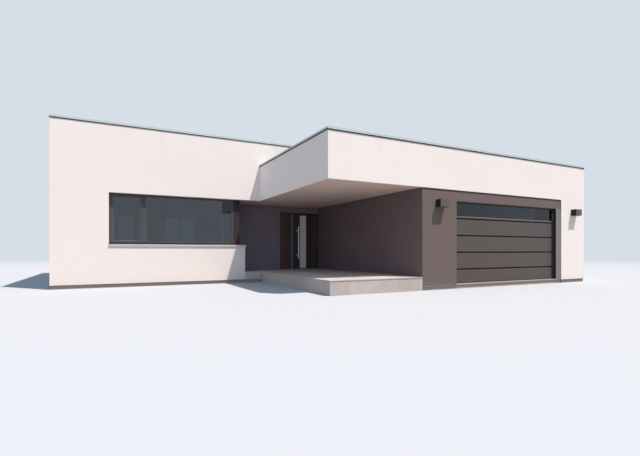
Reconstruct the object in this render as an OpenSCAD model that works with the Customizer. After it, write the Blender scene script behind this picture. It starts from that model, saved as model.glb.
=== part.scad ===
// Single-storey modern house: a tall living wing with a corner window, a deep canopy over the
// entrance porch and a lower garage wing. Millimetres, +Z up, the front faces -Y.

/* [Plan] */
// Overall depth from the canopy front to the rear wall
house_d = 14800; // [13500:50:17000]
// Thickness of the outer walls
wall_t = 360; // [300:10:420]
// Width of the living wing up to the end face beside the porch
wing_w = 6070; // [5800:10:6400]
// Width of the porch between the living wing and the garage
porch_w = 3750; // [3500:10:4100]
// Width of the brown wall between the porch and the garage doorway
garage_pier_w = 1375; // [1200:5:1600]
// Offset of the canopy side from the end face of the living wing
canopy_step = 570; // [400:10:800]
// Setback of the living wing behind the canopy front
wing_setback = 5395; // [4800:5:6000]
// Depth of the porch recess behind the front of the living wing
porch_depth = 1355; // [1200:5:1700]
// Setback of the brown garage wall behind the white front
portal_recess = 25; // [20:5:100]
// Inset of the porch slab from the canopy edge
porch_inset = 70; // [70:5:200]

/* [Levels] */
// Height of the recessed plinth band
plinth_h = 115; // [90:5:130]
// Inset of the plinth behind the wall faces
plinth_in = 30; // [15:5:50]
// Garage floor above the lowest ground
garage_floor_z = 150; // [140:5:200]
// Porch and house floor above the lowest ground
floor_z = 380; // [340:5:420]
// Window sill above the lowest ground
sill_z = 1400; // [1200:10:1600]
// Window heads and canopy soffit above the lowest ground
head_z = 3060; // [2980:10:3200]
// Top of the coping on the low roof
low_top_z = 4410; // [4200:10:4500]
// Top of the coping on the tall roof
tall_top_z = 5305; // [5150:5:5500]

/* [Roofs] */
// Thickness of the low roof slab
low_slab_t = 260; // [200:10:320]
// Height of the tall parapet above the gravel
tall_parapet_h = 575; // [500:5:650]
// Thickness of the tall roof slab
tall_slab_t = 250; // [200:10:300]
// Thickness of the insulation and gravel on the roofs
roof_finish_t = 280; // [200:10:330]
// Thickness of the soffit boards
soffit_t = 20; // [12:1:30]
// Height of the coping fascia
coping_h = 55; // [50:5:120]
// Overhang of the copings past the wall faces
coping_out = 25; // [20:5:50]
// Sheet thickness of the copings
coping_t = 6; // [4:1:10]
// Kick of the drip edge at the foot of the copings
coping_drip = 10; // [6:1:14]

/* [Corner window] */
// Width of the wall left of the corner window
pier_w = 1590; // [1200:10:1900]
// Setback of the window frames behind the wall face
frame_setback = 170; // [120:5:200]
// Depth of the window frames
frame_depth = 80; // [70:5:90]
// Side of the square corner post
post_w = 230; // [160:10:260]
// Width of the fixed frame bars
bar_w = 70; // [50:5:90]
// Width of the mullion beside the opening sash
mullion_w = 130; // [70:5:180]
// Distance from the pier to the far side of that mullion
sash_bay_w = 1110; // [900:5:1400]
// Width of the sash bars
sash_bar_w = 56; // [50:2:80]
// Thickness of the glass units
glass_t = 28; // [20:2:36]
// Depth of the glass edge held in the bars
glass_bite = 14; // [8:1:20]
// Depth of the step in the bars at the edge of the glass
bead_d = 10; // [6:1:11]
// Sheet thickness of the window sills
sill_t = 5; // [3:1:8]
// Fall of the window sills from the frame to the wall face
sill_fall = 12; // [8:1:20]
// Overhang of the window sills past the wall face
sill_out = 25; // [15:5:40]
// Height of the front lip of the window sills
sill_lip_h = 70; // [40:5:90]

/* [Other windows] */
// Width of each window on the left, rear and right walls
window_w = 1750; // [1200:10:1780]
// Width of the mullion of these windows
plain_mullion_w = 90; // [70:5:110]
// Windows in the left wall
left_windows = 2; // [1:1:3]
// Windows in the rear wall of the living wing
rear_windows_tall = 3; // [1:1:3]
// Windows in the rear wall behind the garage
rear_windows_low = 2; // [1:1:2]
// Windows in the right wall
right_windows = 2; // [1:1:3]

/* [Garage door] */
// Width of the garage doorway
garage_w = 4960; // [4600:10:5200]
// Height of the garage doorway above its floor
garage_h = 2575; // [2450:5:2620]
// Distance from the doorway to the white pier on its right
portal_right_w = 275; // [150:5:300]
// Width of the white pier right of the garage
white_pier_w = 1420; // [1200:10:1600]
// Setback of the door behind the brown wall
door_setback = 120; // [80:5:140]
// Pitch of the door sections
section_pitch = 533; // [500:1:550]
// Height of the top section of the door
top_section_h = 503; // [460:1:540]
// Thickness of the door sections
section_t = 42; // [38:1:46]
// Height of the recessed line between the door sections
section_line_h = 42; // [20:1:50]
// Width of the bars round the glass of the top section
section_bar_w = 45; // [40:1:72]
// Radius of the bend in the door tracks
track_bend_r = 300; // [220:10:360]
// Length of the level stretch of the door tracks
track_run = 2600; // [2300:50:3000]

/* [Entrance] */
// Width of the entrance door set
entrance_w = 1820; // [1700:10:1900]
// Height of the entrance door set
entrance_h = 2430; // [2200:10:2480]
// Setback of the door set behind the porch wall
entrance_setback = 60; // [40:5:100]
// Width of the door frame bars
entrance_bar_w = 50; // [40:5:60]
// Width of the right side panel with its outer bar
side_panel_w = 435; // [400:5:480]
// Width of the door leaf
leaf_w = 880; // [800:5:900]
// Thickness of the door leaf
leaf_t = 70; // [60:2:76]
// Width of the frosted glass strip
strip_w = 310; // [240:10:340]
// Distance from the hinge edge of the leaf to the glass strip
strip_edge = 130; // [110:5:150]
// Height of the leaf left above and below the glass strip
strip_rail_h = 40; // [30:2:90]
// Length of the pull bar
pull_l = 1400; // [1000:20:1600]
// Height of the middle of the pull bar above the house floor
pull_z = 1150; // [1000:10:1250]
// Distance of the pull bar from the edge of the glass strip
pull_edge = 100; // [90:5:130]
// Diameter of the pull bar
pull_d = 32; // [25:1:40]
// Distance of the pull bar from the leaf
pull_gap = 80; // [60:2:100]

/* [Wall lamps] */
// Width of a wall lamp
lamp_w = 340; // [240:10:400]
// Depth of a wall lamp
lamp_d = 200; // [160:10:240]
// Height of a wall lamp
lamp_h = 230; // [180:10:280]
// Underside of the wall lamps above the lowest ground
lamp_z = 2500; // [2300:10:2700]

/* [Hidden] */
$fn = 48;

// small clearances
seat = 0.3;
bar_joint = 0.6;
run_gap = 5;

// plan lines, from the left wall face and the white front
canopy_x = wing_w + canopy_step;
side_x = wing_w + porch_w;
spine_x = side_x + wall_t;
garage_x0 = side_x + garage_pier_w;
garage_x1 = garage_x0 + garage_w;
white_pier_x = garage_x1 + portal_right_w;
house_w = white_pier_x + white_pier_w;
inner_right_x = house_w - wall_t;
inner_rear_y = house_d - wall_t;
wing_in_y = wing_setback + wall_t;
porch_back_y = wing_setback + porch_depth;
porch_in_y = porch_back_y + wall_t;
garage_head_z = garage_floor_z + garage_h;
low_slab_z = head_z + soffit_t;
low_roof_z = low_slab_z + low_slab_t;
tall_roof_z = tall_top_z - tall_parapet_h - roof_finish_t;
tall_ceiling_z = tall_roof_z - tall_slab_t;
low_wall_top = low_top_z - coping_t;
tall_wall_top = tall_top_z - coping_t;
wall_z = plinth_h;

// corner window lines
sill_bed_z = sill_z - sill_t - sill_fall;
post_x1 = wing_w - frame_setback;
post_x0 = post_x1 - post_w;
frame_y = wing_setback + frame_setback;
window_h = head_z - sill_z;

// garage door lines
door_y = portal_recess + door_setback;
first_section_h = garage_h - top_section_h - 3 * section_pitch;
track_y = door_y + section_t + run_gap;
track_w = 56;
track_deep = 30;
track_t = 2.5;
roller_r = 22;

// entrance lines
entrance_x0 = side_x - entrance_w;
entrance_y = porch_back_y + entrance_setback;
entrance_top = floor_z + entrance_h;
leaf_y = entrance_y + run_gap;
entrance_frame_d = run_gap + leaf_t;
lock_gap = 10;
hinge_gap = 5;
threshold_h = 8;
hinge_jamb_x = side_x - side_panel_w;
leaf_x1 = hinge_jamb_x - hinge_gap;
leaf_x0 = leaf_x1 - leaf_w;
lock_jamb_x = leaf_x0 - lock_gap;
leaf_z0 = floor_z + threshold_h + run_gap;
leaf_z1 = entrance_top - entrance_bar_w - run_gap;
strip_x1 = leaf_x1 - strip_edge;
strip_x0 = strip_x1 - strip_w;
hinge_off = 12;
hinge_x = hinge_jamb_x - hinge_gap / 2;
hinge_y = leaf_y + leaf_t + hinge_off;
hinge_zs = [for (k = [0, 1, 2]) leaf_z0 + 260 + k * (leaf_z1 - leaf_z0 - 520) / 2];
knuckle_r = 10;
pin_r = 5;
pin_clear = 0.1;
knuckle_l = 36;
knuckle_gap = 1;
flap_w = 55;
flap_t = 3;

// colours
white_render = [0.95, 0.92, 0.90];
brown_render = [0.42, 0.37, 0.36];
dark_render = [0.26, 0.25, 0.27];
concrete = [0.55, 0.55, 0.53];
paving = [0.70, 0.68, 0.65];
anthracite = [0.24, 0.24, 0.26];
pane = [0.35, 0.42, 0.48, 0.6];
zinc = [0.74, 0.80, 0.78];
gravel = [0.60, 0.60, 0.58];
panel_brown = [0.40, 0.35, 0.34];
board_brown = [0.36, 0.24, 0.18];
steel = [0.75, 0.76, 0.78];
soffit_tone = [0.72, 0.68, 0.64];

// a box given by its extents
module block(x0, x1, y0, y1, z0, z1) {
    translate([x0, y0, z0]) cube([x1 - x0, y1 - y0, z1 - z0]);
}

// the house frame has its origin under the middle of the overall box
module place() {
    translate([-house_w / 2, -(house_d + coping_out - lamp_d) / 2, 0]) children();
}

// copies a wall opening or window along a wall, evenly between two ends
function spread(n, a, b) = [for (k = [1:n]) a + (b - a) * (k - 0.5) / n];
left_ys = spread(left_windows, wing_in_y, inner_rear_y);
rear_tall_xs = spread(rear_windows_tall, wall_t, side_x);
rear_low_xs = spread(rear_windows_low, spine_x, inner_right_x);
right_ys = spread(right_windows, inner_rear_y / 2, inner_rear_y);

// turns a piece drawn for a wall that faces -Y so that it faces another way
module on_left_wall(y) { translate([0, y, 0]) rotate(-90) children(); }
module on_right_wall(y) { translate([house_w, y, 0]) rotate(90) children(); }
module on_rear_wall(x) { translate([x, house_d, 0]) rotate(180) children(); }
module at_each_window() {
    for (y = left_ys) on_left_wall(y) children();
    for (x = concat(rear_tall_xs, rear_low_xs)) on_rear_wall(x) children();
    for (y = right_ys) on_right_wall(y) children();
}
module window_hole() { block(-window_w / 2, window_w / 2, -1, wall_t + 1, sill_bed_z, head_z); }

// base
module foundation() {
    color(concrete) place() linear_extrude(plinth_h) polygon([
        [plinth_in, wing_setback + plinth_in], [side_x + plinth_in, wing_setback + plinth_in],
        [side_x + plinth_in, portal_recess + plinth_in],
        [white_pier_x + plinth_in, portal_recess + plinth_in],
        [white_pier_x + plinth_in, plinth_in], [house_w - plinth_in, plinth_in],
        [house_w - plinth_in, house_d - plinth_in], [plinth_in, house_d - plinth_in]]);
}
module house_floor() {
    color(paving) place() translate([0, 0, plinth_h]) linear_extrude(floor_z - plinth_h) polygon([
        [wall_t, wing_in_y], [wing_w - wall_t, wing_in_y], [wing_w - wall_t, porch_in_y],
        [entrance_x0, porch_in_y], [entrance_x0, porch_back_y], [side_x, porch_back_y],
        [side_x, inner_rear_y], [wall_t, inner_rear_y]]);
}
module garage_floor() {
    color(concrete) place() translate([0, 0, plinth_h])
    linear_extrude(garage_floor_z - plinth_h) polygon([
        [spine_x, wall_t], [garage_x0, wall_t], [garage_x0, portal_recess],
        [garage_x1, portal_recess], [garage_x1, wall_t], [inner_right_x, wall_t],
        [inner_right_x, inner_rear_y], [spine_x, inner_rear_y]]);
}
module porch_slab() {
    color(paving) place() {
        block(canopy_x + porch_inset, side_x, portal_recess, wing_setback + plinth_in, 0, plinth_h);
        translate([0, 0, plinth_h]) linear_extrude(floor_z - plinth_h) polygon([
            [canopy_x + porch_inset, portal_recess], [side_x, portal_recess],
            [side_x, porch_back_y], [wing_w, porch_back_y], [wing_w, wing_setback],
            [canopy_x + porch_inset, wing_setback]]);
    }
}

// walls of the living wing
module wing_front_pier() {
    color(white_render) place()
        block(0, pier_w, wing_setback, wing_in_y, wall_z, head_z);
}
module window_apron() {
    color(white_render) place() translate([0, 0, wall_z]) linear_extrude(sill_bed_z - wall_z) polygon([
        [pier_w, wing_setback], [wing_w, wing_setback], [wing_w, porch_back_y],
        [wing_w - wall_t, porch_back_y], [wing_w - wall_t, wing_in_y], [pier_w, wing_in_y]]);
}
module wing_upper_wall() {
    color(white_render) place() {
        block(0, spine_x, wing_setback, wing_in_y, head_z, tall_wall_top);
        block(wing_w - wall_t, wing_w, wing_in_y, porch_back_y, head_z, tall_ceiling_z);
    }
}
module left_wall() {
    color(white_render) place() difference() {
        block(0, wall_t, wing_in_y, inner_rear_y, wall_z, tall_wall_top);
        for (y = left_ys) on_left_wall(y) window_hole();
    }
}
module rear_wall_tall() {
    color(white_render) place() difference() {
        block(0, spine_x, inner_rear_y, house_d, wall_z, tall_wall_top);
        for (x = rear_tall_xs) on_rear_wall(x) window_hole();
    }
}
module rear_wall_low() {
    color(white_render) place() difference() {
        block(spine_x, house_w, inner_rear_y, house_d, wall_z, low_wall_top);
        for (x = rear_low_xs) on_rear_wall(x) window_hole();
    }
}
module right_wall() {
    color(white_render) place() difference() {
        block(inner_right_x, house_w, wall_t, inner_rear_y, wall_z, low_wall_top);
        for (y = right_ys) on_right_wall(y) window_hole();
    }
}

// the brown side wall of the garage carries the side wall of the tall wing further back
module garage_side_wall() {
    color(brown_render) place() translate([side_x, 0, 0]) rotate([90, 0, 90])
    linear_extrude(wall_t) polygon([
        [wall_t, wall_z], [inner_rear_y, wall_z], [inner_rear_y, tall_wall_top],
        [wing_in_y, tall_wall_top], [wing_in_y, head_z], [wing_setback, head_z],
        [wing_setback, low_slab_z], [wall_t, low_slab_z]]);
}
module porch_wall_left() {
    color(dark_render) place()
        block(wing_w - wall_t, entrance_x0, porch_back_y, porch_in_y, wall_z, tall_ceiling_z);
}
module porch_wall_over_door() {
    color(dark_render) place()
        block(entrance_x0, side_x, porch_back_y, porch_in_y, entrance_top, tall_ceiling_z);
}

// garage front
module garage_portal() {
    color(brown_render) place() {
        block(side_x, garage_x0, portal_recess, wall_t, wall_z, head_z);
        block(garage_x0, garage_x1, portal_recess, wall_t, garage_head_z, head_z);
        block(garage_x1, white_pier_x, portal_recess, wall_t, wall_z, head_z);
    }
}
module garage_white_pier() {
    color(white_render) place() block(white_pier_x, house_w, 0, wall_t, wall_z, head_z);
}
module front_fascia() {
    color(white_render) place() block(canopy_x, house_w, 0, wall_t, head_z, low_wall_top);
}
module canopy_side_fascia() {
    color(white_render) place()
        block(canopy_x, canopy_x + wall_t, wall_t, wing_setback, head_z, low_wall_top);
}
module canopy_soffit() {
    color(soffit_tone) place() {
        block(canopy_x + wall_t, side_x, wall_t, wing_setback, head_z, low_slab_z);
        block(wing_w, side_x, wing_in_y, porch_back_y, head_z, low_slab_z);
    }
}

// roofs
module low_roof_outline(h) {
    linear_extrude(h) polygon([
        [canopy_x + wall_t, wall_t], [inner_right_x, wall_t], [inner_right_x, inner_rear_y],
        [spine_x, inner_rear_y], [spine_x, wing_setback], [canopy_x + wall_t, wing_setback]]);
}
module low_roof_slab() {
    color(concrete) place() translate([0, 0, low_slab_z]) low_roof_outline(low_slab_t);
}
module tall_roof_slab() {
    color(concrete) place()
        block(wall_t, side_x, wing_in_y, inner_rear_y, tall_ceiling_z, tall_roof_z);
}
module roof_gravel() {
    color(gravel) place() {
        translate([0, 0, low_roof_z]) low_roof_outline(roof_finish_t);
        block(wall_t, side_x, wing_in_y, inner_rear_y, tall_roof_z, tall_roof_z + roof_finish_t);
    }
}

// folded sheet over a wall top: x along the run, y from the outer wall face inwards; the foot of
// each leg is kicked out as a drip edge
module coping_sheet(x0, x1) {
    leg = coping_out - coping_drip;
    knee = coping_h - coping_drip;
    foot = coping_out - coping_t * sqrt(2);
    far = wall_t;
    translate([x0, 0, 0]) rotate([90, 0, 90]) linear_extrude(x1 - x0) polygon([
        [-leg, 0], [far + leg, 0], [far + leg, -knee], [far + coping_out, -coping_h],
        [far + foot, -coping_h], [far + leg - coping_t, -knee], [far + leg - coping_t, -coping_t],
        [-leg + coping_t, -coping_t], [-leg + coping_t, -knee], [-foot, -coping_h],
        [-coping_out, -coping_h], [-leg, -knee]]);
}
// one straight run; an end is 1 for a mitre at an outside corner and 0 for a square end
module coping_run(l, start, end) {
    far = wall_t + coping_out;
    intersection() {
        coping_sheet(-coping_out, l + coping_out);
        translate([0, 0, -coping_h - 1]) linear_extrude(coping_h + 2) polygon([
            [(start == 1 ? -coping_out : 0) + bar_joint, -coping_out],
            [l + (end == 1 ? coping_out : 0) - bar_joint, -coping_out],
            [l - (end == 1 ? far : 0) - bar_joint, far],
            [(start == 1 ? far : 0) + bar_joint, far]]);
    }
}
module low_coping() {
    color(zinc) place() translate([0, 0, low_top_z]) {
        translate([canopy_x, 0, 0]) coping_run(house_w - canopy_x, 1, 1);
        translate([house_w, 0, 0]) rotate(90) coping_run(house_d, 1, 1);
        translate([house_w, house_d, 0]) rotate(180) coping_run(house_w - spine_x, 1, 0);
        translate([canopy_x, wing_setback, 0]) rotate(-90) coping_run(wing_setback, 0, 1);
    }
}
module tall_coping() {
    wing_d = house_d - wing_setback;
    color(zinc) place() translate([0, wing_setback, tall_top_z]) {
        coping_run(spine_x, 1, 1);
        translate([spine_x, 0, 0]) rotate(90) coping_run(wing_d, 1, 1);
        translate([spine_x, wing_d, 0]) rotate(180) coping_run(spine_x, 1, 1);
        translate([0, wing_d, 0]) rotate(-90) coping_run(wing_d, 1, 1);
    }
}

// window bars, drawn in the frame plane: x across, y into the wall, z up from the sill
module rail(x0, x1, z0, z1, d = frame_depth) { block(x0, x1, 0, d, z0, z1); }
module bars(w, h, b, d = frame_depth) {
    rail(0, w, 0, b, d);
    rail(0, w, h - b, h, d);
    rail(0, b, b + bar_joint, h - b - bar_joint, d);
    rail(w - b, w, b + bar_joint, h - b - bar_joint, d);
}
// a glass unit between bars; where the bars are cut for it, it is grown by a clearance and has a
// step round it in their outer face
bead_w = 16;
module pane_of(x0, x1, z0, z1, grow = 0, d = frame_depth) {
    mid = d / 2;
    block(x0 - glass_bite - grow, x1 + glass_bite + grow, mid - glass_t / 2 - grow,
        mid + glass_t / 2 + grow, z0 - glass_bite - grow, z1 + glass_bite + grow);
    if (grow > 0) block(x0 - bead_w, x1 + bead_w, -1, bead_d, z0 - bead_w, z1 + bead_w);
}

// corner window: an opening sash at the left, a large fixed pane and a short return
front_w = post_x0 - pier_w;
return_w = porch_back_y - (frame_y + post_w);
mullion_x0 = sash_bay_w - mullion_w;
sash_x0 = bar_w - glass_bite;
sash_x1 = mullion_x0 + glass_bite;
sash_out = 12;
sash_d = 68;
module at_front_frame() { translate([pier_w, frame_y, sill_z]) children(); }
module at_return_frame() {
    translate([post_x1, frame_y + post_w, sill_z]) rotate(90) children();
}
module fixed_pane(grow = 0) {
    pane_of(sash_bay_w, front_w - bar_w, bar_w, window_h - bar_w, grow);
}
module return_pane(grow = 0) {
    pane_of(bar_w, return_w - bar_w, bar_w, window_h - bar_w, grow);
}
module sash_pane(grow = 0) {
    translate([0, -sash_out, 0])
        pane_of(sash_x0 + sash_bar_w, sash_x1 - sash_bar_w, sash_x0 + sash_bar_w,
            window_h - sash_x0 - sash_bar_w, grow, sash_d);
}
module sash_blank(grow) {
    block(sash_x0 - grow, sash_x1 + grow, -sash_out - 1, sash_d - sash_out + grow,
        sash_x0 - grow, window_h - sash_x0 + grow);
}
module corner_post() {
    color(dark_render) place() translate([post_x0, frame_y, sill_z])
        cube([post_w, post_w, window_h]);
}
module corner_window_frame() {
    color(anthracite) place() {
        at_front_frame() difference() {
            union() {
                bars(front_w, window_h, bar_w);
                rail(mullion_x0, sash_bay_w, bar_w + bar_joint, window_h - bar_w - bar_joint);
            }
            fixed_pane(seat);
            sash_blank(seat);
        }
        at_return_frame() difference() {
            bars(return_w, window_h, bar_w);
            return_pane(seat);
        }
    }
}
module corner_window_sash() {
    color(anthracite) place() at_front_frame() difference() {
        translate([sash_x0, -sash_out, sash_x0])
            bars(sash_x1 - sash_x0, window_h - 2 * sash_x0, sash_bar_w, sash_d);
        sash_pane(seat);
    }
}
module corner_window_glass() {
    color(pane) place() {
        at_front_frame() {
            fixed_pane();
            sash_pane();
        }
        at_return_frame() return_pane();
    }
}

// plain windows on the other walls
module at_window_frame() { translate([-window_w / 2, frame_setback, sill_z]) children(); }
plain_mullion_x0 = (window_w - plain_mullion_w) / 2;
module plain_panes(grow = 0) {
    pane_of(bar_w, plain_mullion_x0, bar_w, window_h - bar_w, grow);
    pane_of(plain_mullion_x0 + plain_mullion_w, window_w - bar_w, bar_w, window_h - bar_w, grow);
}
module window_frames() {
    color(anthracite) place() at_each_window() at_window_frame() difference() {
        union() {
            bars(window_w, window_h, bar_w);
            rail(plain_mullion_x0, plain_mullion_x0 + plain_mullion_w, bar_w + bar_joint,
                window_h - bar_w - bar_joint);
        }
        plain_panes(seat);
    }
}
module window_glass() {
    color(pane) place() at_each_window() at_window_frame() plain_panes();
}
// sill of a length w: it falls from the frame to the wall face and turns down in front of it
sill_back = frame_setback + frame_depth;
module sill_sheet(w) {
    front_z = sill_bed_z + sill_t;
    lip_z = front_z - sill_lip_h;
    rotate([90, 0, 90]) linear_extrude(w) polygon([
        [-sill_out, front_z], [frame_setback, sill_z], [sill_back, sill_z],
        [sill_back, sill_bed_z], [-sill_out + sill_t, sill_bed_z], [-sill_out + sill_t, lip_z],
        [-sill_out, lip_z]]);
}
// the two arms of the sill at the corner window meet in a mitre
module corner_sill_arm(l) {
    intersection() {
        sill_sheet(l + sill_out);
        linear_extrude(sill_z + 1) polygon([
            [0, -sill_out - 1], [l + sill_out - bar_joint + 1, -sill_out - 1],
            [l - sill_back - bar_joint, sill_back], [0, sill_back]]);
    }
}
module window_sills() {
    color(zinc) place() {
        at_each_window() translate([-window_w / 2, 0, 0]) sill_sheet(window_w);
        translate([pier_w, wing_setback, 0]) corner_sill_arm(wing_w - pier_w);
        translate([wing_w, porch_back_y, 0]) rotate(90) mirror([1, 0, 0])
            corner_sill_arm(porch_depth);
    }
}

// sectional garage door: sections joined by a tongue and groove
tongue_h = 9;
tongue_t = 14;
section_gap = 3;
line_d = 8;
module section_profile(h, has_groove, has_tongue) {
    mid = section_t / 2;
    difference() {
        union() {
            translate([0, 0]) square([section_t, h]);
            if (has_tongue) translate([mid - tongue_t / 2, h]) square([tongue_t, tongue_h]);
        }
        if (has_groove) translate([mid - tongue_t / 2 - 1, -1])
            square([tongue_t + 2, tongue_h + 1 + section_gap]);
        if (has_tongue) translate([-1, h - section_line_h]) square([line_d + 1, section_line_h + 1]);
    }
}
function section_z(k) =
    garage_floor_z + (k == 0 ? 0 : first_section_h + (k - 1) * section_pitch);
function section_h(k) = k == 0 ? first_section_h : k == 4 ? top_section_h : section_pitch;
module door_section(k) {
    h = section_h(k) - section_gap;
    translate([garage_x0 + section_gap, door_y, section_z(k) + (k == 0 ? seat : 0)])
    rotate([90, 0, 90]) linear_extrude(garage_w - 2 * section_gap)
        section_profile(h - (k == 0 ? seat : 0), k > 0, k < 4);
}
// the top section is a frame with one long pane set into its outer face, in front of its mullions
glazing_bays = 5;
glazing_t = 16;
glazing_in = 8;
glazing_bite = 8;
section_mullion_w = 40;
glazing_x0 = garage_x0 + section_gap + section_bar_w;
glazing_x1 = garage_x1 - section_gap - section_bar_w;
glazing_z0 = section_z(4) + section_bar_w;
glazing_z1 = section_z(4) + top_section_h - section_gap - section_bar_w;
module glazing_pane(grow = 0) {
    block(glazing_x0 - grow, glazing_x1 + grow, door_y + glazing_in,
        door_y + glazing_in + glazing_t + grow, glazing_z0 - grow, glazing_z1 + grow);
}
module glazing_holes() {
    bay = (glazing_x1 - glazing_x0 + section_mullion_w) / glazing_bays;
    block(glazing_x0 - seat, glazing_x1 + seat, door_y - 1, door_y + glazing_in + 1,
        glazing_z0 - seat, glazing_z1 + seat);
    for (k = [0:glazing_bays - 1])
        block(glazing_x0 + k * bay + glazing_bite,
            glazing_x0 + (k + 1) * bay - section_mullion_w - glazing_bite,
            door_y - 1, door_y + section_t + 1, glazing_z0 + glazing_bite,
            glazing_z1 - glazing_bite);
}
module garage_door_section_1() { color(panel_brown) place() door_section(0); }
module garage_door_section_2() { color(panel_brown) place() door_section(1); }
module garage_door_section_3() { color(panel_brown) place() door_section(2); }
module garage_door_section_4() { color(panel_brown) place() door_section(3); }
module garage_door_section_5() {
    color(panel_brown) place() difference() {
        door_section(4);
        glazing_holes();
        glazing_pane(seat);
    }
}
module garage_door_glazing() { color(pane) place() glazing_pane(); }

// tracks: upright, bend and level stretch, hung from the roof slab
bend_z = garage_head_z - 75 - track_bend_r;
module track_section() {
    difference() {
        square([track_w, track_deep]);
        translate([track_t, track_t]) square([track_w - 2 * track_t, track_deep]);
    }
}
module track() {
    // upright: profile plane y (across) and x (deep)
    translate([0, track_y, garage_floor_z]) linear_extrude(bend_z - garage_floor_z)
        mirror([1, -1, 0]) track_section();
    // bend, turned about a level line behind the top of the upright
    translate([0, track_y + track_bend_r, bend_z]) rotate([90, 0, 90])
        rotate_extrude_bend();
    // level stretch
    translate([0, track_y + track_bend_r, bend_z + track_bend_r - track_w])
        rotate([-90, 0, 0]) mirror([0, 1, 0]) linear_extrude(track_run)
            mirror([1, -1, 0]) track_section();
    // hangers up to the roof slab
    for (s = [0.25, 0.9])
        block(0, 4, track_y + track_bend_r + s * track_run, track_y + track_bend_r + s * track_run + 40,
            bend_z + track_bend_r, low_slab_z);
}
module rotate_extrude_bend() {
    rotate([0, 0, 90]) rotate_extrude(angle = 90) translate([track_bend_r - track_w, 0])
        track_section();
}
module garage_door_tracks() {
    color(steel) place() {
        translate([garage_x0, 0, 0]) track();
        translate([garage_x1, 0, 0]) mirror([1, 0, 0]) track();
    }
}
// rollers on short axles, held by hinge plates at each joint of the sections
module roller() {
    axle_r = 5;
    wheel_x = track_t + 2;
    wheel_l = 20;
    plate_x0 = track_deep + 14;
    translate([wheel_x, 0, 0]) rotate([0, 90, 0]) cylinder(r = roller_r, h = wheel_l);
    translate([wheel_x, 0, 0]) rotate([0, 90, 0]) cylinder(r = axle_r, h = plate_x0 + 60 - wheel_x);
    back = track_w / 2 + run_gap;
    block(plate_x0, plate_x0 + 60, -back, -back + 3, -45, 45);
    block(plate_x0, plate_x0 + 4, -back, 10, -12, 12);
    block(plate_x0 + 56, plate_x0 + 60, -back, 10, -12, 12);
}
module garage_door_rollers() {
    mid_y = track_y + track_w / 2;
    color(steel) place() for (k = [1:4]) {
        z = section_z(k) - section_gap / 2;
        translate([garage_x0, mid_y, z]) roller();
        translate([garage_x1, mid_y, z]) mirror([1, 0, 0]) roller();
    }
}

// entrance door set
module entrance_frame() {
    w1 = lock_jamb_x - entrance_bar_w;
    w2 = hinge_jamb_x + entrance_bar_w;
    top = entrance_top - entrance_bar_w;
    lip_d = 12;
    lip_w = 12;
    y1 = entrance_y + entrance_frame_d;
    y0 = entrance_y - lip_d;
    color(anthracite) place() {
        block(entrance_x0, side_x, entrance_y, y1, top, entrance_top);
        block(entrance_x0, entrance_x0 + entrance_bar_w, entrance_y, y1, floor_z, top - bar_joint);
        block(side_x - entrance_bar_w, side_x, entrance_y, y1, floor_z, top - bar_joint);
        block(w1, lock_jamb_x, entrance_y, y1, floor_z, top - bar_joint);
        block(hinge_jamb_x, w2, entrance_y, y1, floor_z, top - bar_joint);
        block(lock_jamb_x + bar_joint, hinge_jamb_x - bar_joint, entrance_y, y1, floor_z,
            floor_z + threshold_h);
        block(w1, lock_jamb_x + lip_w + lock_gap, y0, entrance_y - bar_joint, floor_z, top);
        block(hinge_jamb_x - lip_w - hinge_gap, w2, y0, entrance_y - bar_joint, floor_z, top);
    }
}
// tongued boards, set upright between the bars
board_n = 3;
module side_panel(x0, x1) {
    w = x1 - x0;
    board = w / board_n;
    vee = 6;
    y0 = entrance_y + 18;
    t = 44;
    translate([0, 0, floor_z]) linear_extrude(entrance_top - entrance_bar_w - seat - floor_z)
    difference() {
        translate([x0, y0]) square([w, t]);
        for (k = [1:board_n - 1]) translate([x0 + k * board, y0]) rotate(45)
            square(vee * sqrt(2), center = true);
    }
}
module entrance_side_panels() {
    color(board_brown) place() {
        side_panel(entrance_x0 + entrance_bar_w, lock_jamb_x - entrance_bar_w);
        side_panel(hinge_jamb_x + entrance_bar_w, side_x - entrance_bar_w);
    }
}
module strip_pane(grow = 0) {
    mid = leaf_y + leaf_t / 2;
    block(strip_x0 - glass_bite - grow, strip_x1 + glass_bite + grow, mid - glass_t / 2 - grow,
        mid + glass_t / 2 + grow, leaf_z0 + strip_rail_h - glass_bite - grow,
        leaf_z1 - strip_rail_h + glass_bite + grow);
}
module entrance_leaf() {
    color(anthracite) place() difference() {
        block(leaf_x0, leaf_x1, leaf_y, leaf_y + leaf_t, leaf_z0, leaf_z1);
        block(strip_x0, strip_x1, leaf_y - 1, leaf_y + leaf_t + 1, leaf_z0 + strip_rail_h,
            leaf_z1 - strip_rail_h);
        strip_pane(seat);
        for (y = [leaf_y - 1, leaf_y + leaf_t - bead_d]) block(strip_x0 - bead_w,
            strip_x1 + bead_w, y, y + bead_d + 1, leaf_z0 + strip_rail_h - bead_w,
            leaf_z1 - strip_rail_h + bead_w);
    }
}
module entrance_leaf_glass() { color(pane) place() strip_pane(); }
plate_t = 3;
plate_w = 90;
plate_edge = 12;
module entrance_edge_plate() {
    color(steel) place() block(leaf_x0 + plate_edge, leaf_x0 + plate_edge + plate_w,
        leaf_y - plate_t, leaf_y, leaf_z0 + 20, leaf_z1 - 20);
}
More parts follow.
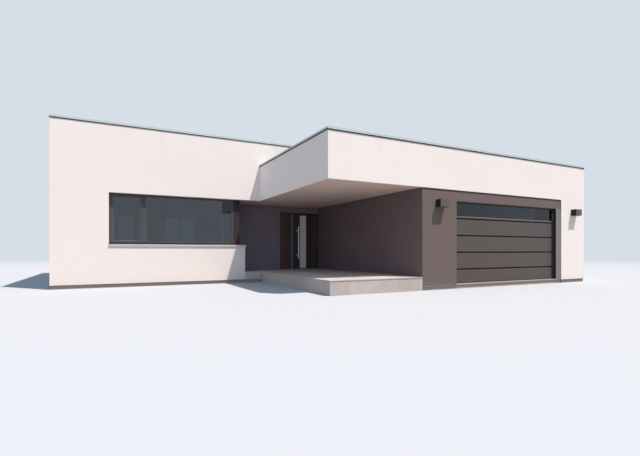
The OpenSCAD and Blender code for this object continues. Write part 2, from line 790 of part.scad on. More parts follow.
// the bar stands on two slanted supports, each with a round rose on the leaf
support_d = 20;
support_end = 170;
support_lean = 45;
rose_d = 46;
rose_t = 8;
module entrance_pull_bar() {
    color(steel) place()
    translate([strip_x0 - pull_edge, leaf_y - pull_gap, floor_z + pull_z]) {
        translate([0, 0, -pull_l / 2]) cylinder(d = pull_d, h = pull_l);
        for (s = [-1, 1]) translate([0, 0, s * (pull_l / 2 - support_end)]) {
            reach = pull_gap - rose_t;
            rotate([-90, 0, atan2(support_lean, reach)])
                cylinder(d = support_d, h = norm([support_lean, reach]));
            translate([-support_lean, pull_gap - rose_t, 0]) rotate([-90, 0, 0])
                cylinder(d = rose_d, h = rose_t);
        }
    }
}
// a hinge has a middle knuckle on the leaf between two on the frame, with the pin in the frame
module knuckle_plate(dir, z0, z1) {
    x0 = dir > 0 ? 0 : -flap_w;
    block(x0, x0 + flap_w, -hinge_off, -hinge_off + flap_t, z0, z1);
}
module frame_hinge() {
    for (s = [0, 1]) mirror([0, 0, s]) {
        z0 = knuckle_l / 2 + knuckle_gap;
        translate([0, 0, z0]) cylinder(r = knuckle_r, h = knuckle_l);
        knuckle_plate(1, z0, z0 + knuckle_l);
    }
    cylinder(r = pin_r, h = 2 * knuckle_l + 2 * knuckle_gap, center = true);
}
module leaf_hinge() {
    difference() {
        union() {
            cylinder(r = knuckle_r, h = knuckle_l, center = true);
            knuckle_plate(-1, -knuckle_l / 2, knuckle_l / 2);
        }
        cylinder(r = pin_r + pin_clear, h = knuckle_l + 2, center = true);
    }
}
module entrance_frame_hinges() {
    color(steel) place() for (z = hinge_zs) translate([hinge_x, hinge_y, z]) frame_hinge();
}
module entrance_leaf_hinges() {
    color(steel) place() for (z = hinge_zs) translate([hinge_x, hinge_y, z]) leaf_hinge();
}

// up and down lights on the garage front
lamp_wall = 8;
lamp_glass_t = 6;
lamp_glass_in = 16;
left_lamp_x = (side_x + garage_x0) / 2 + 10;
right_lamp_x = white_pier_x + white_pier_w / 2 + 50;
module lamp_body() {
    difference() {
        block(-lamp_w / 2, lamp_w / 2, -lamp_d, 0, 0, lamp_h);
        block(-lamp_w / 2 + lamp_wall, lamp_w / 2 - lamp_wall, -lamp_d + lamp_wall, -lamp_wall,
            -1, lamp_h + 1);
    }
}
module lamp_glass() {
    g = seat;
    for (z = [lamp_glass_in, lamp_h - lamp_glass_in - lamp_glass_t])
        block(-lamp_w / 2 + lamp_wall + g, lamp_w / 2 - lamp_wall - g, -lamp_d + lamp_wall + g,
            -lamp_wall - g, z, z + lamp_glass_t);
}
module at_each_lamp() {
    translate([left_lamp_x, portal_recess, lamp_z]) children();
    translate([right_lamp_x, 0, lamp_z]) children();
}
module wall_lamps() { color(panel_brown) place() at_each_lamp() lamp_body(); }
module wall_lamp_glass() { color(pane) place() at_each_lamp() lamp_glass(); }

foundation();
house_floor();
garage_floor();
porch_slab();
wing_front_pier();
window_apron();
wing_upper_wall();
left_wall();
rear_wall_tall();
rear_wall_low();
right_wall();
garage_side_wall();
porch_wall_left();
porch_wall_over_door();
garage_portal();
garage_white_pier();
front_fascia();
canopy_side_fascia();
canopy_soffit();
low_roof_slab();
tall_roof_slab();
roof_gravel();
low_coping();
tall_coping();
corner_post();
corner_window_frame();
corner_window_sash();
corner_window_glass();
window_sills();
window_frames();
window_glass();
garage_door_section_1();
garage_door_section_2();
garage_door_section_3();
garage_door_section_4();
garage_door_section_5();
garage_door_glazing();
garage_door_tracks();
garage_door_rollers();
entrance_frame();
entrance_side_panels();
entrance_leaf();
entrance_leaf_glass();
entrance_edge_plate();
entrance_pull_bar();
entrance_frame_hinges();
entrance_leaf_hinges();
wall_lamps();
wall_lamp_glass();
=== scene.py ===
import math

import bmesh
import bpy
from mathutils import Euler, Matrix, Vector


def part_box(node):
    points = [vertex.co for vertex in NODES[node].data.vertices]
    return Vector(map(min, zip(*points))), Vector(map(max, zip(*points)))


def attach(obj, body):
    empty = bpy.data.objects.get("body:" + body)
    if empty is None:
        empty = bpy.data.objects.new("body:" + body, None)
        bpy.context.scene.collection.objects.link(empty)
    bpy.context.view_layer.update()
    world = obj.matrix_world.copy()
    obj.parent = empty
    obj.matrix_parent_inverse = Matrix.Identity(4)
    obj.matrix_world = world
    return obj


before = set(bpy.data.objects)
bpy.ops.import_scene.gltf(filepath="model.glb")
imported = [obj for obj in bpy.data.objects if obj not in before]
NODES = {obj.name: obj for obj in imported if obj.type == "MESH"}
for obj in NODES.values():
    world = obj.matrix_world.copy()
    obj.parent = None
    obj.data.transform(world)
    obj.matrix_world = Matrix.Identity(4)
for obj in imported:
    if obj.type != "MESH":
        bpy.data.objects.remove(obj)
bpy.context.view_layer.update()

HOUSE = "house"
LEAF = "entrance_door"
UP = Vector((0, 0, 1))
EAST = Vector((1, 0, 0))
NORTH = Vector((0, 1, 0))
SKIN = 0.0002       # what a thin piece stands off the face behind it
PANE_BITE = 0.014   # how far the bars cover the edge of a pane
SOFT_ANGLE = 35.0   # edges sharper than this, in degrees, stay sharp


# plan lines of the house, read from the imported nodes

def low(node):
    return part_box(node)[0]


def high(node):
    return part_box(node)[1]


left_x = low("left_wall").x
right_x = high("right_wall").x
rear_y = high("rear_wall_tall").y
wing_y = low("wing_front_pier").y
wing_x = high("window_apron").x
porch_wall_y = low("porch_wall_left").y
porch_rear_y = high("porch_wall_left").y
side_x = low("garage_side_wall").x
spine_x = high("garage_side_wall").x
white_y = low("front_fascia").y
portal_y = low("garage_portal").y
white_pier_x = low("garage_white_pier").x
canopy_x = low("canopy_side_fascia").x
wall_t = high("canopy_side_fascia").x - canopy_x
plinth_z = high("foundation").z
head_z = low("front_fascia").z
floor_z = high("porch_slab").z
garage_floor_z = high("garage_floor").z
low_top_z = high("low_coping").z
tall_top_z = high("tall_coping").z
coping_h = tall_top_z - low("tall_coping").z
coping_out = left_x - low("tall_coping").x
low_bed_h = 0.28    # depth of the gravel bed on the low roof
low_gravel_z = low("roof_gravel").z + low_bed_h
tall_gravel_z = high("roof_gravel").z


# small tools for meshes

def linked(thing):
    """puts an object in the scene"""
    bpy.context.scene.collection.objects.link(thing)
    return thing


def smooth_object(name, bm, soft_angle=SOFT_ANGLE):
    """turns a bmesh into an object with smooth faces and sharp edges"""
    mesh = bpy.data.meshes.new(name)
    bm.to_mesh(mesh)
    bm.free()
    mesh.shade_smooth()
    mesh.set_sharp_from_angle(angle=math.radians(soft_angle))
    return linked(bpy.data.objects.new(name, mesh))


def keep(name, body, bm, material):
    """makes a finished piece from a bmesh, riding on a body"""
    bmesh.ops.recalc_face_normals(bm, faces=bm.faces)
    finish_piece(smooth_object(name, bm), body, material)


def finish_piece(piece, body, material):
    piece.data.materials.append(material)
    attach(piece, body)


def block(bm, lo, hi, edge=0.0, steps=2):
    """a block between two corners, with rounded edges where edge isn't zero"""
    lo, hi = Vector(lo), Vector(hi)
    size = hi - lo
    place = Matrix.Translation((lo + hi) / 2) @ Matrix.Diagonal((*size, 1.0))
    made = bmesh.ops.create_cube(bm, size=1.0, matrix=place)
    if edge:
        edges = dict.fromkeys(e for v in made["verts"] for e in v.link_edges)
        bmesh.ops.bevel(bm, geom=list(edges), offset=edge, segments=steps, affect="EDGES")


def run(bm, outline, start, end, across, up=UP):
    """pushes a closed outline of (across, up) points from start to end"""
    start, end = Vector(start), Vector(end)
    rings = [[bm.verts.new(p + across * a + up * b) for a, b in outline] for p in (start, end)]
    close_tube(bm, rings)


def close_tube(bm, rings, looped=False):
    """joins rings of vertices into a skin, which is capped or closes on itself"""
    pairs = list(zip(rings, rings[1:]))
    if looped:
        pairs.append((rings[-1], rings[0]))
    for first, second in pairs:
        n = len(first)
        for k in range(n):
            bm.faces.new((first[k], first[(k + 1) % n], second[(k + 1) % n], second[k]))
    if not looped:
        bm.faces.new(rings[0][::-1])
        bm.faces.new(rings[-1])


def ring(bm, outline, lo, hi, centre, right, out):
    """sweeps an outline of (inwards, outwards) points round a rectangle with mitred corners"""
    corners = [(lo[0], lo[1], 1, 1), (hi[0], lo[1], -1, 1), (hi[0], hi[1], -1, -1),
               (lo[0], hi[1], 1, -1)]
    rings = []
    for a, b, in_a, in_b in corners:
        spot = centre + right * a + UP * b
        inward = right * in_a + UP * in_b
        rings.append([bm.verts.new(spot + inward * i + out * o) for i, o in outline])
    close_tube(bm, rings, looped=True)


def circle(bm, centre, side, other, radius, sides):
    """vertices round a centre, in the plane of two directions"""
    turns = (2 * math.pi * k / sides for k in range(sides))
    return [bm.verts.new(centre + (side * math.cos(t) + other * math.sin(t)) * radius)
            for t in turns]


def turned(bm, profile, base, axis, sides):
    """revolves (radius, height) points about an axis; the ends close on it"""
    axis = Vector(axis).normalized()
    side = axis.orthogonal().normalized()
    other = axis.cross(side)
    base = Vector(base)
    close_tube(bm, [circle(bm, base + axis * height, side, other, radius, sides)
                    for radius, height in profile])


def rod(bm, points, radius, sides=14):
    """a round bar along points"""
    points = [Vector(p) for p in points]
    rings = []
    for k, p in enumerate(points):
        ahead = (points[min(k + 1, len(points) - 1)] - points[max(k - 1, 0)]).normalized()
        side = ahead.cross(UP if abs(ahead.z) < 0.9 else EAST).normalized()
        rings.append(circle(bm, p, side, ahead.cross(side), radius, sides))
    close_tube(bm, rings)


def box_outline(a0, a1, b0, b1):
    """four corners of a flat rectangle, for run and ring"""
    return [(a0, b0), (a1, b0), (a1, b1), (a0, b1)]


def solids_of(node):
    """the box of each separate solid of a CAD node, as (lowest, highest) corners"""
    bm = bmesh.new()
    bm.from_mesh(NODES[node].data)
    bmesh.ops.remove_doubles(bm, verts=bm.verts, dist=1e-5)
    seen, boxes = set(), []
    for start in bm.verts:
        if start in seen:
            continue
        seen.add(start)
        stack, spots = [start], []
        while stack:
            v = stack.pop()
            spots.append(v.co.copy())
            for e in v.link_edges:
                other = e.other_vert(v)
                if other not in seen:
                    seen.add(other)
                    stack.append(other)
        boxes.append((Vector(map(min, *spots)), Vector(map(max, *spots))))
    bm.free()
    return sorted(boxes, key=lambda b: tuple(round(c, 3) for c in b[0]))


# small tools for shader nodes

class Web:
    """nodes of one tree; a socket given as a value is linked, and anything else is set"""

    def __init__(self, tree):
        self.tree = tree

    def add(self, kind, sockets=(), **settings):
        node = self.tree.nodes.new(kind)
        for key, value in settings.items():
            setattr(node, key, value)
        for key, value in dict(sockets).items():
            self.put(value, node.inputs[key])
        return node

    def put(self, value, socket):
        if isinstance(value, bpy.types.NodeSocket):
            self.tree.links.new(value, socket)
        else:
            socket.default_value = value

    def calc(self, operation, a, b=0.0, c=0.0):
        node = self.add("ShaderNodeMath", {0: a, 1: b, 2: c}, operation=operation)
        return node.outputs[0]

    def times(self, a, b):
        return self.calc("MULTIPLY", a, b)

    def less(self, a, b):
        return self.calc("SUBTRACT", a, b)

    def swing(self, noise, amount, middle=1.0):
        """a value about a middle, which noise moves up and down"""
        return self.calc("MULTIPLY_ADD", self.less(noise, 0.5), amount, middle)

    def noise(self, vector, scale, detail=4.0, rough=0.55):
        node = self.add("ShaderNodeTexNoise",
                        {"Vector": vector, "Scale": scale, "Detail": detail, "Roughness": rough})
        return node.outputs["Fac"]

    def stretch(self, vector, scale):
        return self.add("ShaderNodeMapping", {"Vector": vector, "Scale": scale}).outputs["Vector"]

    def fade(self, value, start, end, low_value=0.0, high_value=1.0):
        node = self.add("ShaderNodeMapRange", {
            "Value": value, "From Min": start, "From Max": end, "To Min": low_value,
            "To Max": high_value}, interpolation_type="SMOOTHSTEP")
        return node.outputs["Result"]

    def mix(self, factor, a, b, way="MIX"):
        node = self.add("ShaderNodeMix", {0: factor, 6: a, 7: b}, data_type="RGBA",
                        blend_type=way)
        return node.outputs[2]

    def shaded(self, colour, shade):
        return self.mix(1.0, colour, shade, "MULTIPLY")

    def parts(self, vector):
        return self.add("ShaderNodeSeparateXYZ", {"Vector": vector}).outputs

    def seen(self):
        """one for rays of the camera, gloss and glass, and none for the light between surfaces"""
        path = self.add("ShaderNodeLightPath").outputs
        inner = self.calc("MAXIMUM", path["Is Glossy Ray"], path["Is Transmission Ray"])
        return self.calc("MAXIMUM", path["Is Camera Ray"], inner)

    def group(self, tree, sockets):
        node = self.tree.nodes.new("ShaderNodeGroup")
        node.node_tree = tree
        for key, value in sockets.items():
            self.put(value, node.inputs[key])
        return node.outputs


def tone(red, green, blue):
    """a colour written as a screen shows it, turned into the linear one of the shader"""
    def straight(c):
        c /= 255.0
        return c / 12.92 if c <= 0.04045 else ((c + 0.055) / 1.055) ** 2.4
    return (straight(red), straight(green), straight(blue), 1.0)


def new_group(name, inputs, outputs):
    """an empty shader node group with named sockets"""
    tree = bpy.data.node_groups.new(name, "ShaderNodeTree")
    kinds = {"v": "NodeSocketVector", "f": "NodeSocketFloat", "c": "NodeSocketColor"}
    for key, kind in inputs:
        tree.interface.new_socket(name=key, in_out="INPUT", socket_type=kinds[kind])
    for key, kind in outputs:
        tree.interface.new_socket(name=key, in_out="OUTPUT", socket_type=kinds[kind])
    web = Web(tree)
    source = web.add("NodeGroupInput").outputs
    sink = web.add("NodeGroupOutput").inputs
    return tree, web, source, sink


# effects that several finishes share

def render_coat_group():
    """mineral render: cloudy tone, fine grain, rain marks under the top and splash at the foot"""
    tree, web, given, put = new_group(
        "mineral_render",
        [("Vector", "v"), ("Colour", "c"), ("Marks", "c"), ("Grain", "f"), ("Cloud", "f"),
         ("Top", "f"), ("Streaks", "f"), ("Splash", "f")],
        [("Colour", "c"), ("Height", "f"), ("Roughness", "f")])
    spot = given["Vector"]
    z = web.parts(spot)["Z"]
    broad = web.noise(spot, 0.45, 5.0, 0.6)
    middle = web.noise(spot, 2.6, 4.0, 0.55)
    floats = web.noise(web.stretch(spot, (1.0, 1.0, 2.4)), 7.0, 3.0, 0.5)
    cloud = web.swing(floats, 0.35, web.swing(middle, 0.6, web.less(broad, 0.5)))
    coat = web.shaded(given["Colour"], web.calc("MULTIPLY_ADD", cloud, given["Cloud"], 1.0))
    drips = web.noise(web.stretch(spot, (5.0, 5.0, 0.28)), 1.0, 4.0, 0.6)
    drips = web.fade(drips, 0.5, 0.72)
    below = web.fade(web.less(given["Top"], z), 0.05, 1.1, 1.0, 0.0)
    rain = web.times(web.times(drips, below), given["Streaks"])
    dust = web.noise(spot, 9.0, 4.0, 0.65)
    foot = web.fade(web.calc("MULTIPLY_ADD", dust, 0.3, z), 0.14, 0.62, 1.0, 0.0)
    soiled = web.calc("MAXIMUM", rain, web.times(foot, given["Splash"]))
    web.put(web.mix(soiled, coat, given["Marks"]), put["Colour"])
    grain = web.noise(spot, given["Grain"], 3.0, 0.7)
    pits = web.add("ShaderNodeTexVoronoi", {
        "Vector": spot, "Scale": web.times(given["Grain"], 0.45)}).outputs["Distance"]
    height = web.calc("ADD", web.times(grain, 0.7), web.times(pits, 0.5))
    height = web.calc("ADD", height, web.times(floats, 1.2))
    web.put(height, put["Height"])
    web.put(web.calc("MULTIPLY_ADD", grain, 0.12, 0.8), put["Roughness"])
    return tree


def coated_sheet_group():
    """coated metal: slight waves in the sheet, faint dust on level faces, fine orange peel"""
    tree, web, given, put = new_group(
        "coated_sheet",
        [("Vector", "v"), ("Normal", "v"), ("Colour", "c"), ("Dust", "c"), ("Dusty", "f"),
         ("Tone", "f"), ("Gloss", "f")],
        [("Colour", "c"), ("Height", "f"), ("Roughness", "f")])
    spot = given["Vector"]
    broad = web.noise(spot, 1.3, 4.0, 0.55)
    speck = web.noise(spot, 60.0, 3.0, 0.6)
    coat = web.shaded(given["Colour"], web.swing(broad, given["Tone"]))
    level = web.fade(web.parts(given["Normal"])["Z"], 0.4, 0.95)
    settled = web.times(web.fade(web.noise(spot, 5.0, 5.0, 0.65), 0.3, 0.75), level)
    settled = web.times(settled, given["Dusty"])
    web.put(web.mix(settled, coat, given["Dust"]), put["Colour"])
    web.put(web.calc("ADD", web.times(speck, 0.15), web.noise(spot, 0.9, 2.0)), put["Height"])
    rough = web.calc("MULTIPLY_ADD", speck, 0.1, given["Gloss"])
    web.put(web.calc("MULTIPLY_ADD", settled, 0.3, rough), put["Roughness"])
    return tree


def wood_figure_group():
    """wood figure along one axis: long streaks, fine pores and a slow change of tone"""
    tree, web, given, put = new_group(
        "wood_figure",
        [("Vector", "v"), ("Light", "c"), ("Dark", "c"), ("Depth", "f")],
        [("Colour", "c"), ("Height", "f")])
    along = given["Vector"]
    warp = web.noise(along, 1.1, 3.0)
    bent = web.add("ShaderNodeVectorMath", {0: along, 1: web.add("ShaderNodeCombineXYZ", {
        "X": web.times(warp, 0.5)}).outputs[0]}, operation="ADD").outputs[0]
    streaks = web.noise(bent, 9.0, 6.0, 0.65)
    pores = web.noise(along, 46.0, 3.0, 0.7)
    depth = web.times(web.fade(streaks, 0.35, 0.68), given["Depth"])
    body = web.mix(depth, given["Light"], given["Dark"])
    dots = web.times(web.fade(pores, 0.55, 0.75), 0.5)
    web.put(web.mix(dots, body, given["Dark"]), put["Colour"])
    web.put(web.calc("ADD", streaks, web.times(pores, 0.6)), put["Height"])
    return tree


def stone_group():
    """stone slabs on a square grid: each slab has its own tone, with fine speckle"""
    tree, web, given, put = new_group(
        "stone_slabs",
        [("Vector", "v"), ("Colour", "c"), ("Joint", "c"), ("Size", "f"), ("Gap", "f")],
        [("Colour", "c"), ("Height", "f"), ("Joints", "f")])
    axes = web.parts(given["Vector"])
    cells, lines = [], []
    for axis in ("X", "Y"):
        steps = web.calc("DIVIDE", axes[axis], given["Size"])
        cells.append(web.calc("FLOOR", steps))
        edge = web.calc("ABSOLUTE", web.less(web.calc("FRACT", steps), 0.5))
        edge = web.times(web.less(0.5, edge), given["Size"])
        lines.append(web.calc("LESS_THAN", edge, given["Gap"]))
    key = web.add("ShaderNodeCombineXYZ", {"X": cells[0], "Y": cells[1]}).outputs[0]
    own = web.add("ShaderNodeTexWhiteNoise", {"Vector": key}).outputs["Value"]
    joints = web.calc("MAXIMUM", lines[0], lines[1])
    speck = web.noise(given["Vector"], 85.0, 4.0, 0.7)
    veins = web.noise(given["Vector"], 3.1, 6.0, 0.62)
    shade = web.swing(speck, 0.3, web.swing(veins, 0.28, web.swing(own, 0.14)))
    body = web.shaded(given["Colour"], shade)
    web.put(web.mix(joints, body, given["Joint"]), put["Colour"])
    web.put(web.less(web.times(speck, 0.3), joints), put["Height"])
    web.put(joints, put["Joints"])
    return tree


RENDER_COAT = render_coat_group()
COATED_SHEET = coated_sheet_group()
WOOD_FIGURE = wood_figure_group()
STONE_SLABS = stone_group()


# finishes

def new_finish(name):
    """a material with its web, its shader and its object coordinates"""
    material = bpy.data.materials.new(name)
    material.use_nodes = True
    web = Web(material.node_tree)
    shader = material.node_tree.nodes["Principled BSDF"]
    coords = web.add("ShaderNodeTexCoord").outputs
    return material, web, shader, coords


def bump(web, shader, height, depth):
    node = web.add("ShaderNodeBump", {"Height": height, "Distance": depth, "Strength": 1.0})
    web.put(node.outputs["Normal"], shader.inputs["Normal"])


def zoned(web, coords, skin, zones):
    """paints over a colour; zones are (mask, colour) pairs for faces that are coated otherwise"""
    for mask, paint in zones:
        skin = web.mix(mask(web, coords), skin, paint)
    return skin


def render_finish(name, colour, rain_top=None, cloud=0.05, splash=0.10, depth=0.0016, zones=()):
    """rendered masonry; rain marks run down from rain_top, and there are none without it"""
    material, web, shader, coords = new_finish(name)
    coat = web.group(RENDER_COAT, {
        "Vector": coords["Object"], "Colour": colour, "Marks": tone(150, 146, 138),
        "Grain": 220.0, "Cloud": cloud, "Top": rain_top or 0.0,
        "Streaks": 0.05 if rain_top else 0.0, "Splash": splash})
    web.put(zoned(web, coords, coat["Colour"], zones), shader.inputs["Base Color"])
    web.put(coat["Roughness"], shader.inputs["Roughness"])
    shader.inputs["Specular IOR Level"].default_value = 0.25
    bump(web, shader, coat["Height"], depth)
    return material


def sheet_finish(name, colour, gloss=0.38, metallic=0.0, dusty=0.0, zones=(), shine=0.5):
    """coated sheet or bars; gloss is the least roughness and dusty the dust on level faces"""
    material, web, shader, coords = new_finish(name)
    coat = web.group(COATED_SHEET, {
        "Vector": coords["Object"], "Normal": coords["Normal"], "Colour": colour,
        "Dust": (0.42, 0.41, 0.38, 1.0), "Dusty": dusty, "Tone": 0.06, "Gloss": gloss})
    web.put(zoned(web, coords, coat["Colour"], zones), shader.inputs["Base Color"])
    web.put(coat["Roughness"], shader.inputs["Roughness"])
    shader.inputs["Metallic"].default_value = metallic
    shader.inputs["Specular IOR Level"].default_value = shine
    bump(web, shader, coat["Height"], 0.0004)
    return material


def brushed_finish(name, colour, rough, lines=(240.0, 240.0, 3.0), depth=0.00006):
    """bare metal with fine lines along its length"""
    material, web, shader, coords = new_finish(name)
    drawn = web.noise(web.stretch(coords["Object"], lines), 1.0, 4.0, 0.6)
    cloud = web.noise(coords["Object"], 4.0, 4.0)
    web.put(web.shaded(colour, web.swing(cloud, 0.12)), shader.inputs["Base Color"])
    web.put(web.calc("MULTIPLY_ADD", drawn, 0.16, rough), shader.inputs["Roughness"])
    shader.inputs["Metallic"].default_value = 1.0
    bump(web, shader, drawn, depth)
    return material


def concrete_finish(name, colour, depth=0.002, ceiling=None):
    """cast concrete with pores, clouds and, on faces that look down, an optional paint"""
    material, web, shader, coords = new_finish(name)
    spot = coords["Object"]
    cloud = web.noise(spot, 1.2, 6.0, 0.6)
    pores = web.add("ShaderNodeTexVoronoi", {"Vector": spot, "Scale": 38.0}).outputs["Distance"]
    holes = web.fade(pores, 0.05, 0.16)
    shade = web.times(web.swing(cloud, 0.35), web.calc("MULTIPLY_ADD", holes, 0.25, 0.75))
    body = web.shaded(colour, shade)
    if ceiling:
        down = web.calc("LESS_THAN", web.parts(coords["Normal"])["Z"], -0.5)
        body = web.mix(down, body, ceiling)
    web.put(body, shader.inputs["Base Color"])
    shader.inputs["Roughness"].default_value = 0.85
    bump(web, shader, web.calc("ADD", holes, web.noise(spot, 90.0, 4.0, 0.7)), depth)
    return material


def gravel_finish(name):
    """washed pebbles: each has its own tone, with dark gaps between them"""
    material, web, shader, coords = new_finish(name)
    spot = coords["Object"]
    pebble = web.add("ShaderNodeTexVoronoi", {"Vector": spot, "Scale": 26.0})
    gaps = web.fade(pebble.outputs["Distance"], 0.35, 0.62)
    own = web.parts(pebble.outputs["Color"])["X"]
    warm = web.mix(own, tone(196, 190, 178), tone(128, 124, 120))
    patch = web.calc("MULTIPLY_ADD", web.noise(spot, 0.7, 4.0), 0.35, 0.8)
    warm = web.shaded(warm, patch)
    web.put(web.mix(gaps, warm, tone(70, 68, 64)), shader.inputs["Base Color"])
    shader.inputs["Roughness"].default_value = 0.8
    bump(web, shader, web.less(1.0, pebble.outputs["Distance"]), 0.012)
    return material


def stone_finish(name, size, gap):
    """pale stone slabs; gap is half the width of a drawn joint"""
    material, web, shader, coords = new_finish(name)
    slabs = web.group(STONE_SLABS, {
        "Vector": coords["Object"], "Colour": (0.51, 0.47, 0.465, 1.0),
        "Joint": tone(120, 115, 108), "Size": size, "Gap": gap})
    web.put(slabs["Colour"], shader.inputs["Base Color"])
    web.put(web.calc("MULTIPLY_ADD", slabs["Joints"], 0.2, 0.72), shader.inputs["Roughness"])
    shader.inputs["Specular IOR Level"].default_value = 0.1
    bump(web, shader, slabs["Height"], 0.0012)
    return material


def wood_finish(name, light, dark, along):
    """boards with their figure along one axis: along gives how the figure is stretched"""
    material, web, shader, coords = new_finish(name)
    figure = web.group(WOOD_FIGURE, {
        "Vector": web.stretch(coords["Object"], along), "Light": light, "Dark": dark,
        "Depth": 0.5})
    web.put(figure["Colour"], shader.inputs["Base Color"])
    web.put(web.calc("MULTIPLY_ADD", figure["Height"], 0.12, 0.5), shader.inputs["Roughness"])
    bump(web, shader, figure["Height"], 0.0008)
    return material


def panel_finish(name, colour, bottom):
    """garage door sections: coated steel with an embossed figure and a little road dust low down"""
    material, web, shader, coords = new_finish(name)
    spot = coords["Object"]
    figure = web.group(WOOD_FIGURE, {
        "Vector": web.stretch(spot, (0.7, 4.0, 9.0)), "Light": colour,
        "Dark": tuple(c * 0.84 for c in colour[:3]) + (1.0,), "Depth": 0.5})
    above = web.less(web.parts(spot)["Z"], bottom)
    dust = web.calc("MULTIPLY_ADD", web.noise(spot, 6.0, 5.0, 0.6), 0.5, above)
    low_dust = web.fade(dust, 0.15, 0.95, 0.5, 0.0)
    web.put(web.mix(low_dust, figure["Colour"], tone(74, 64, 56)), shader.inputs["Base Color"])
    web.put(web.calc("MULTIPLY_ADD", figure["Height"], 0.12, 0.42), shader.inputs["Roughness"])
    bump(web, shader, figure["Height"], 0.0009)
    return material


def glass_finish(name, colour, rough=0.0, clear=1.0, frost=0.0, bend=1.5):
    """panes: a tinted body with faint smears in its gloss; bend is how strongly it refracts"""
    material, web, shader, coords = new_finish(name)
    smear = web.noise(web.stretch(coords["Object"], (2.0, 2.0, 0.7)), 2.0, 5.0, 0.6)
    web.put(web.shaded(colour, web.swing(smear, 0.16)), shader.inputs["Base Color"])
    web.put(web.calc("MULTIPLY_ADD", web.fade(smear, 0.45, 0.8), 0.03 + frost, rough),
            shader.inputs["Roughness"])
    shader.inputs["Transmission Weight"].default_value = clear
    shader.inputs["IOR"].default_value = bend
    if frost:
        bump(web, shader, web.noise(coords["Object"], 300.0, 3.0, 0.6), 0.0003)
    return material


def rubber_finish(name):
    material, web, shader, coords = new_finish(name)
    speck = web.noise(coords["Object"], 120.0, 3.0, 0.6)
    web.put(web.mix(speck, tone(20, 20, 21), tone(38, 37, 37)), shader.inputs["Base Color"])
    web.put(web.calc("MULTIPLY_ADD", speck, 0.2, 0.55), shader.inputs["Roughness"])
    bump(web, shader, speck, 0.0003)
    return material


def membrane_finish(name):
    """grey roofing membrane with a mineral face"""
    material, web, shader, coords = new_finish(name)
    speck = web.noise(coords["Object"], 160.0, 4.0, 0.7)
    cloud = web.noise(coords["Object"], 1.8, 5.0, 0.6)
    shade = web.calc("MULTIPLY_ADD", speck, 0.5, web.times(cloud, 0.6))
    web.put(web.mix(shade, tone(78, 80, 82), tone(140, 142, 142)), shader.inputs["Base Color"])
    shader.inputs["Roughness"].default_value = 0.85
    bump(web, shader, speck, 0.001)
    return material


# masks of faces by the way they face and by where they are

over_soffit = 0.03                  # how far the porch face runs up behind the soffit
lower_bar_h = 0.072                 # height of the lower bars of the corner window
bead_reach = 0.1                    # more than the bead's height, less than the pane's
garage_middle_x = side_x + 3.0      # between the two sides of the garage doorway


def facing(web, coords, axis, sign):
    value = web.parts(coords["Normal"])[axis]
    return web.calc("GREATER_THAN", value, 0.5) if sign > 0 else web.calc("LESS_THAN", value, -0.5)


def past(web, coords, axis, limit):
    return web.calc("GREATER_THAN", web.parts(coords["Object"])[axis], limit)


def rear_face(web, coords):
    return facing(web, coords, "Y", 1)


# faces that look down; on the white parts they take the darker soffit colour, which stands for the
# shade under them: painted shade
def down_faces_painted_shade(web, coords):
    return facing(web, coords, "Z", -1)


def beyond_porch(web, coords):
    """all of the garage side wall but its face towards the porch"""
    side = web.less(1.0, facing(web, coords, "X", -1))
    behind = past(web, coords, "Y", porch_rear_y)
    above = past(web, coords, "Z", head_z + over_soffit)
    return web.calc("MAXIMUM", side, web.calc("MAXIMUM", behind, above))


def lower_bars_painted_shade(web, coords):
    """the lower bars of the corner window, coloured darker to stand for the shade on them: painted
    shade
    """
    return web.less(1.0, past(web, coords, "Z", low("corner_window_frame").z + lower_bar_h))


def upper_bead_painted_shade(web, coords):
    """the upper run of the bead round the long pane of the garage door, coloured near black to
    stand for the shade under the header: painted shade
    """
    return past(web, coords, "Z", high("garage_door_glazing").z - bead_reach)


def right_reveal_painted_shade(web, coords):
    """the side of the garage doorway that faces left, coloured dark to stand for the shade on it:
    painted shade
    """
    return web.times(facing(web, coords, "X", -1), past(web, coords, "X", garage_middle_x))


def right_jamb_painted_light(web, coords):
    """the narrow strip of brown wall between the garage door and the white pier, coloured a lighter
    grey that stands for light falling on it: painted light
    """
    right = past(web, coords, "X", high("garage_door_section_1").x)
    below = web.less(1.0, past(web, coords, "Z", high("garage_door_section_5").z))
    return web.times(web.times(right, below), facing(web, coords, "Y", -1))


INDOOR_WHITE = tone(226, 224, 218)
WHITE = (0.86, 0.815, 0.805, 1.0)
BROWN = (0.158, 0.124, 0.119, 1.0)
# a bluer copy of the brown render for the garage side wall, which lies in shade: painted sky light
SIDE_BROWN_PAINTED_SKY_TINT = (0.162, 0.119, 0.13, 1.0)
# lighter, bluer copy of the brown render for the porch walls in shade: painted sky light
PORCH_BROWN_PAINTED_SKYLIGHT = (0.235, 0.196, 0.236, 1.0)
# the soffit's own pale paint with a warm pink tint that stands for warm light bounced up under the
# canopy: partly painted light
SOFFIT_PAINTED_BOUNCE = (0.74, 0.60, 0.555, 1.0)
JAMB_PAINTED_LIGHT_GREY = (0.21, 0.198, 0.20, 1.0)
REVEAL_PAINTED_SHADE = (0.045, 0.034, 0.037, 1.0)
POST_DARK = (0.040, 0.031, 0.035, 1.0)
COPING = (0.475, 0.545, 0.56, 1.0)
ANTHRACITE = (0.075, 0.08, 0.088, 1.0)
CORNER_GREY = (0.076, 0.079, 0.09, 1.0)
PANEL_BROWN = (0.082, 0.064, 0.060, 1.0)
INSIDE = [(rear_face, INDOOR_WHITE)]
# down-facing faces of the white parts take the soffit colour: painted shade
UNDERSIDE_PAINTED_SHADE = [(down_faces_painted_shade, SOFFIT_PAINTED_BOUNCE)]
low_rain_z = low_top_z - coping_h
tall_rain_z = tall_top_z - coping_h

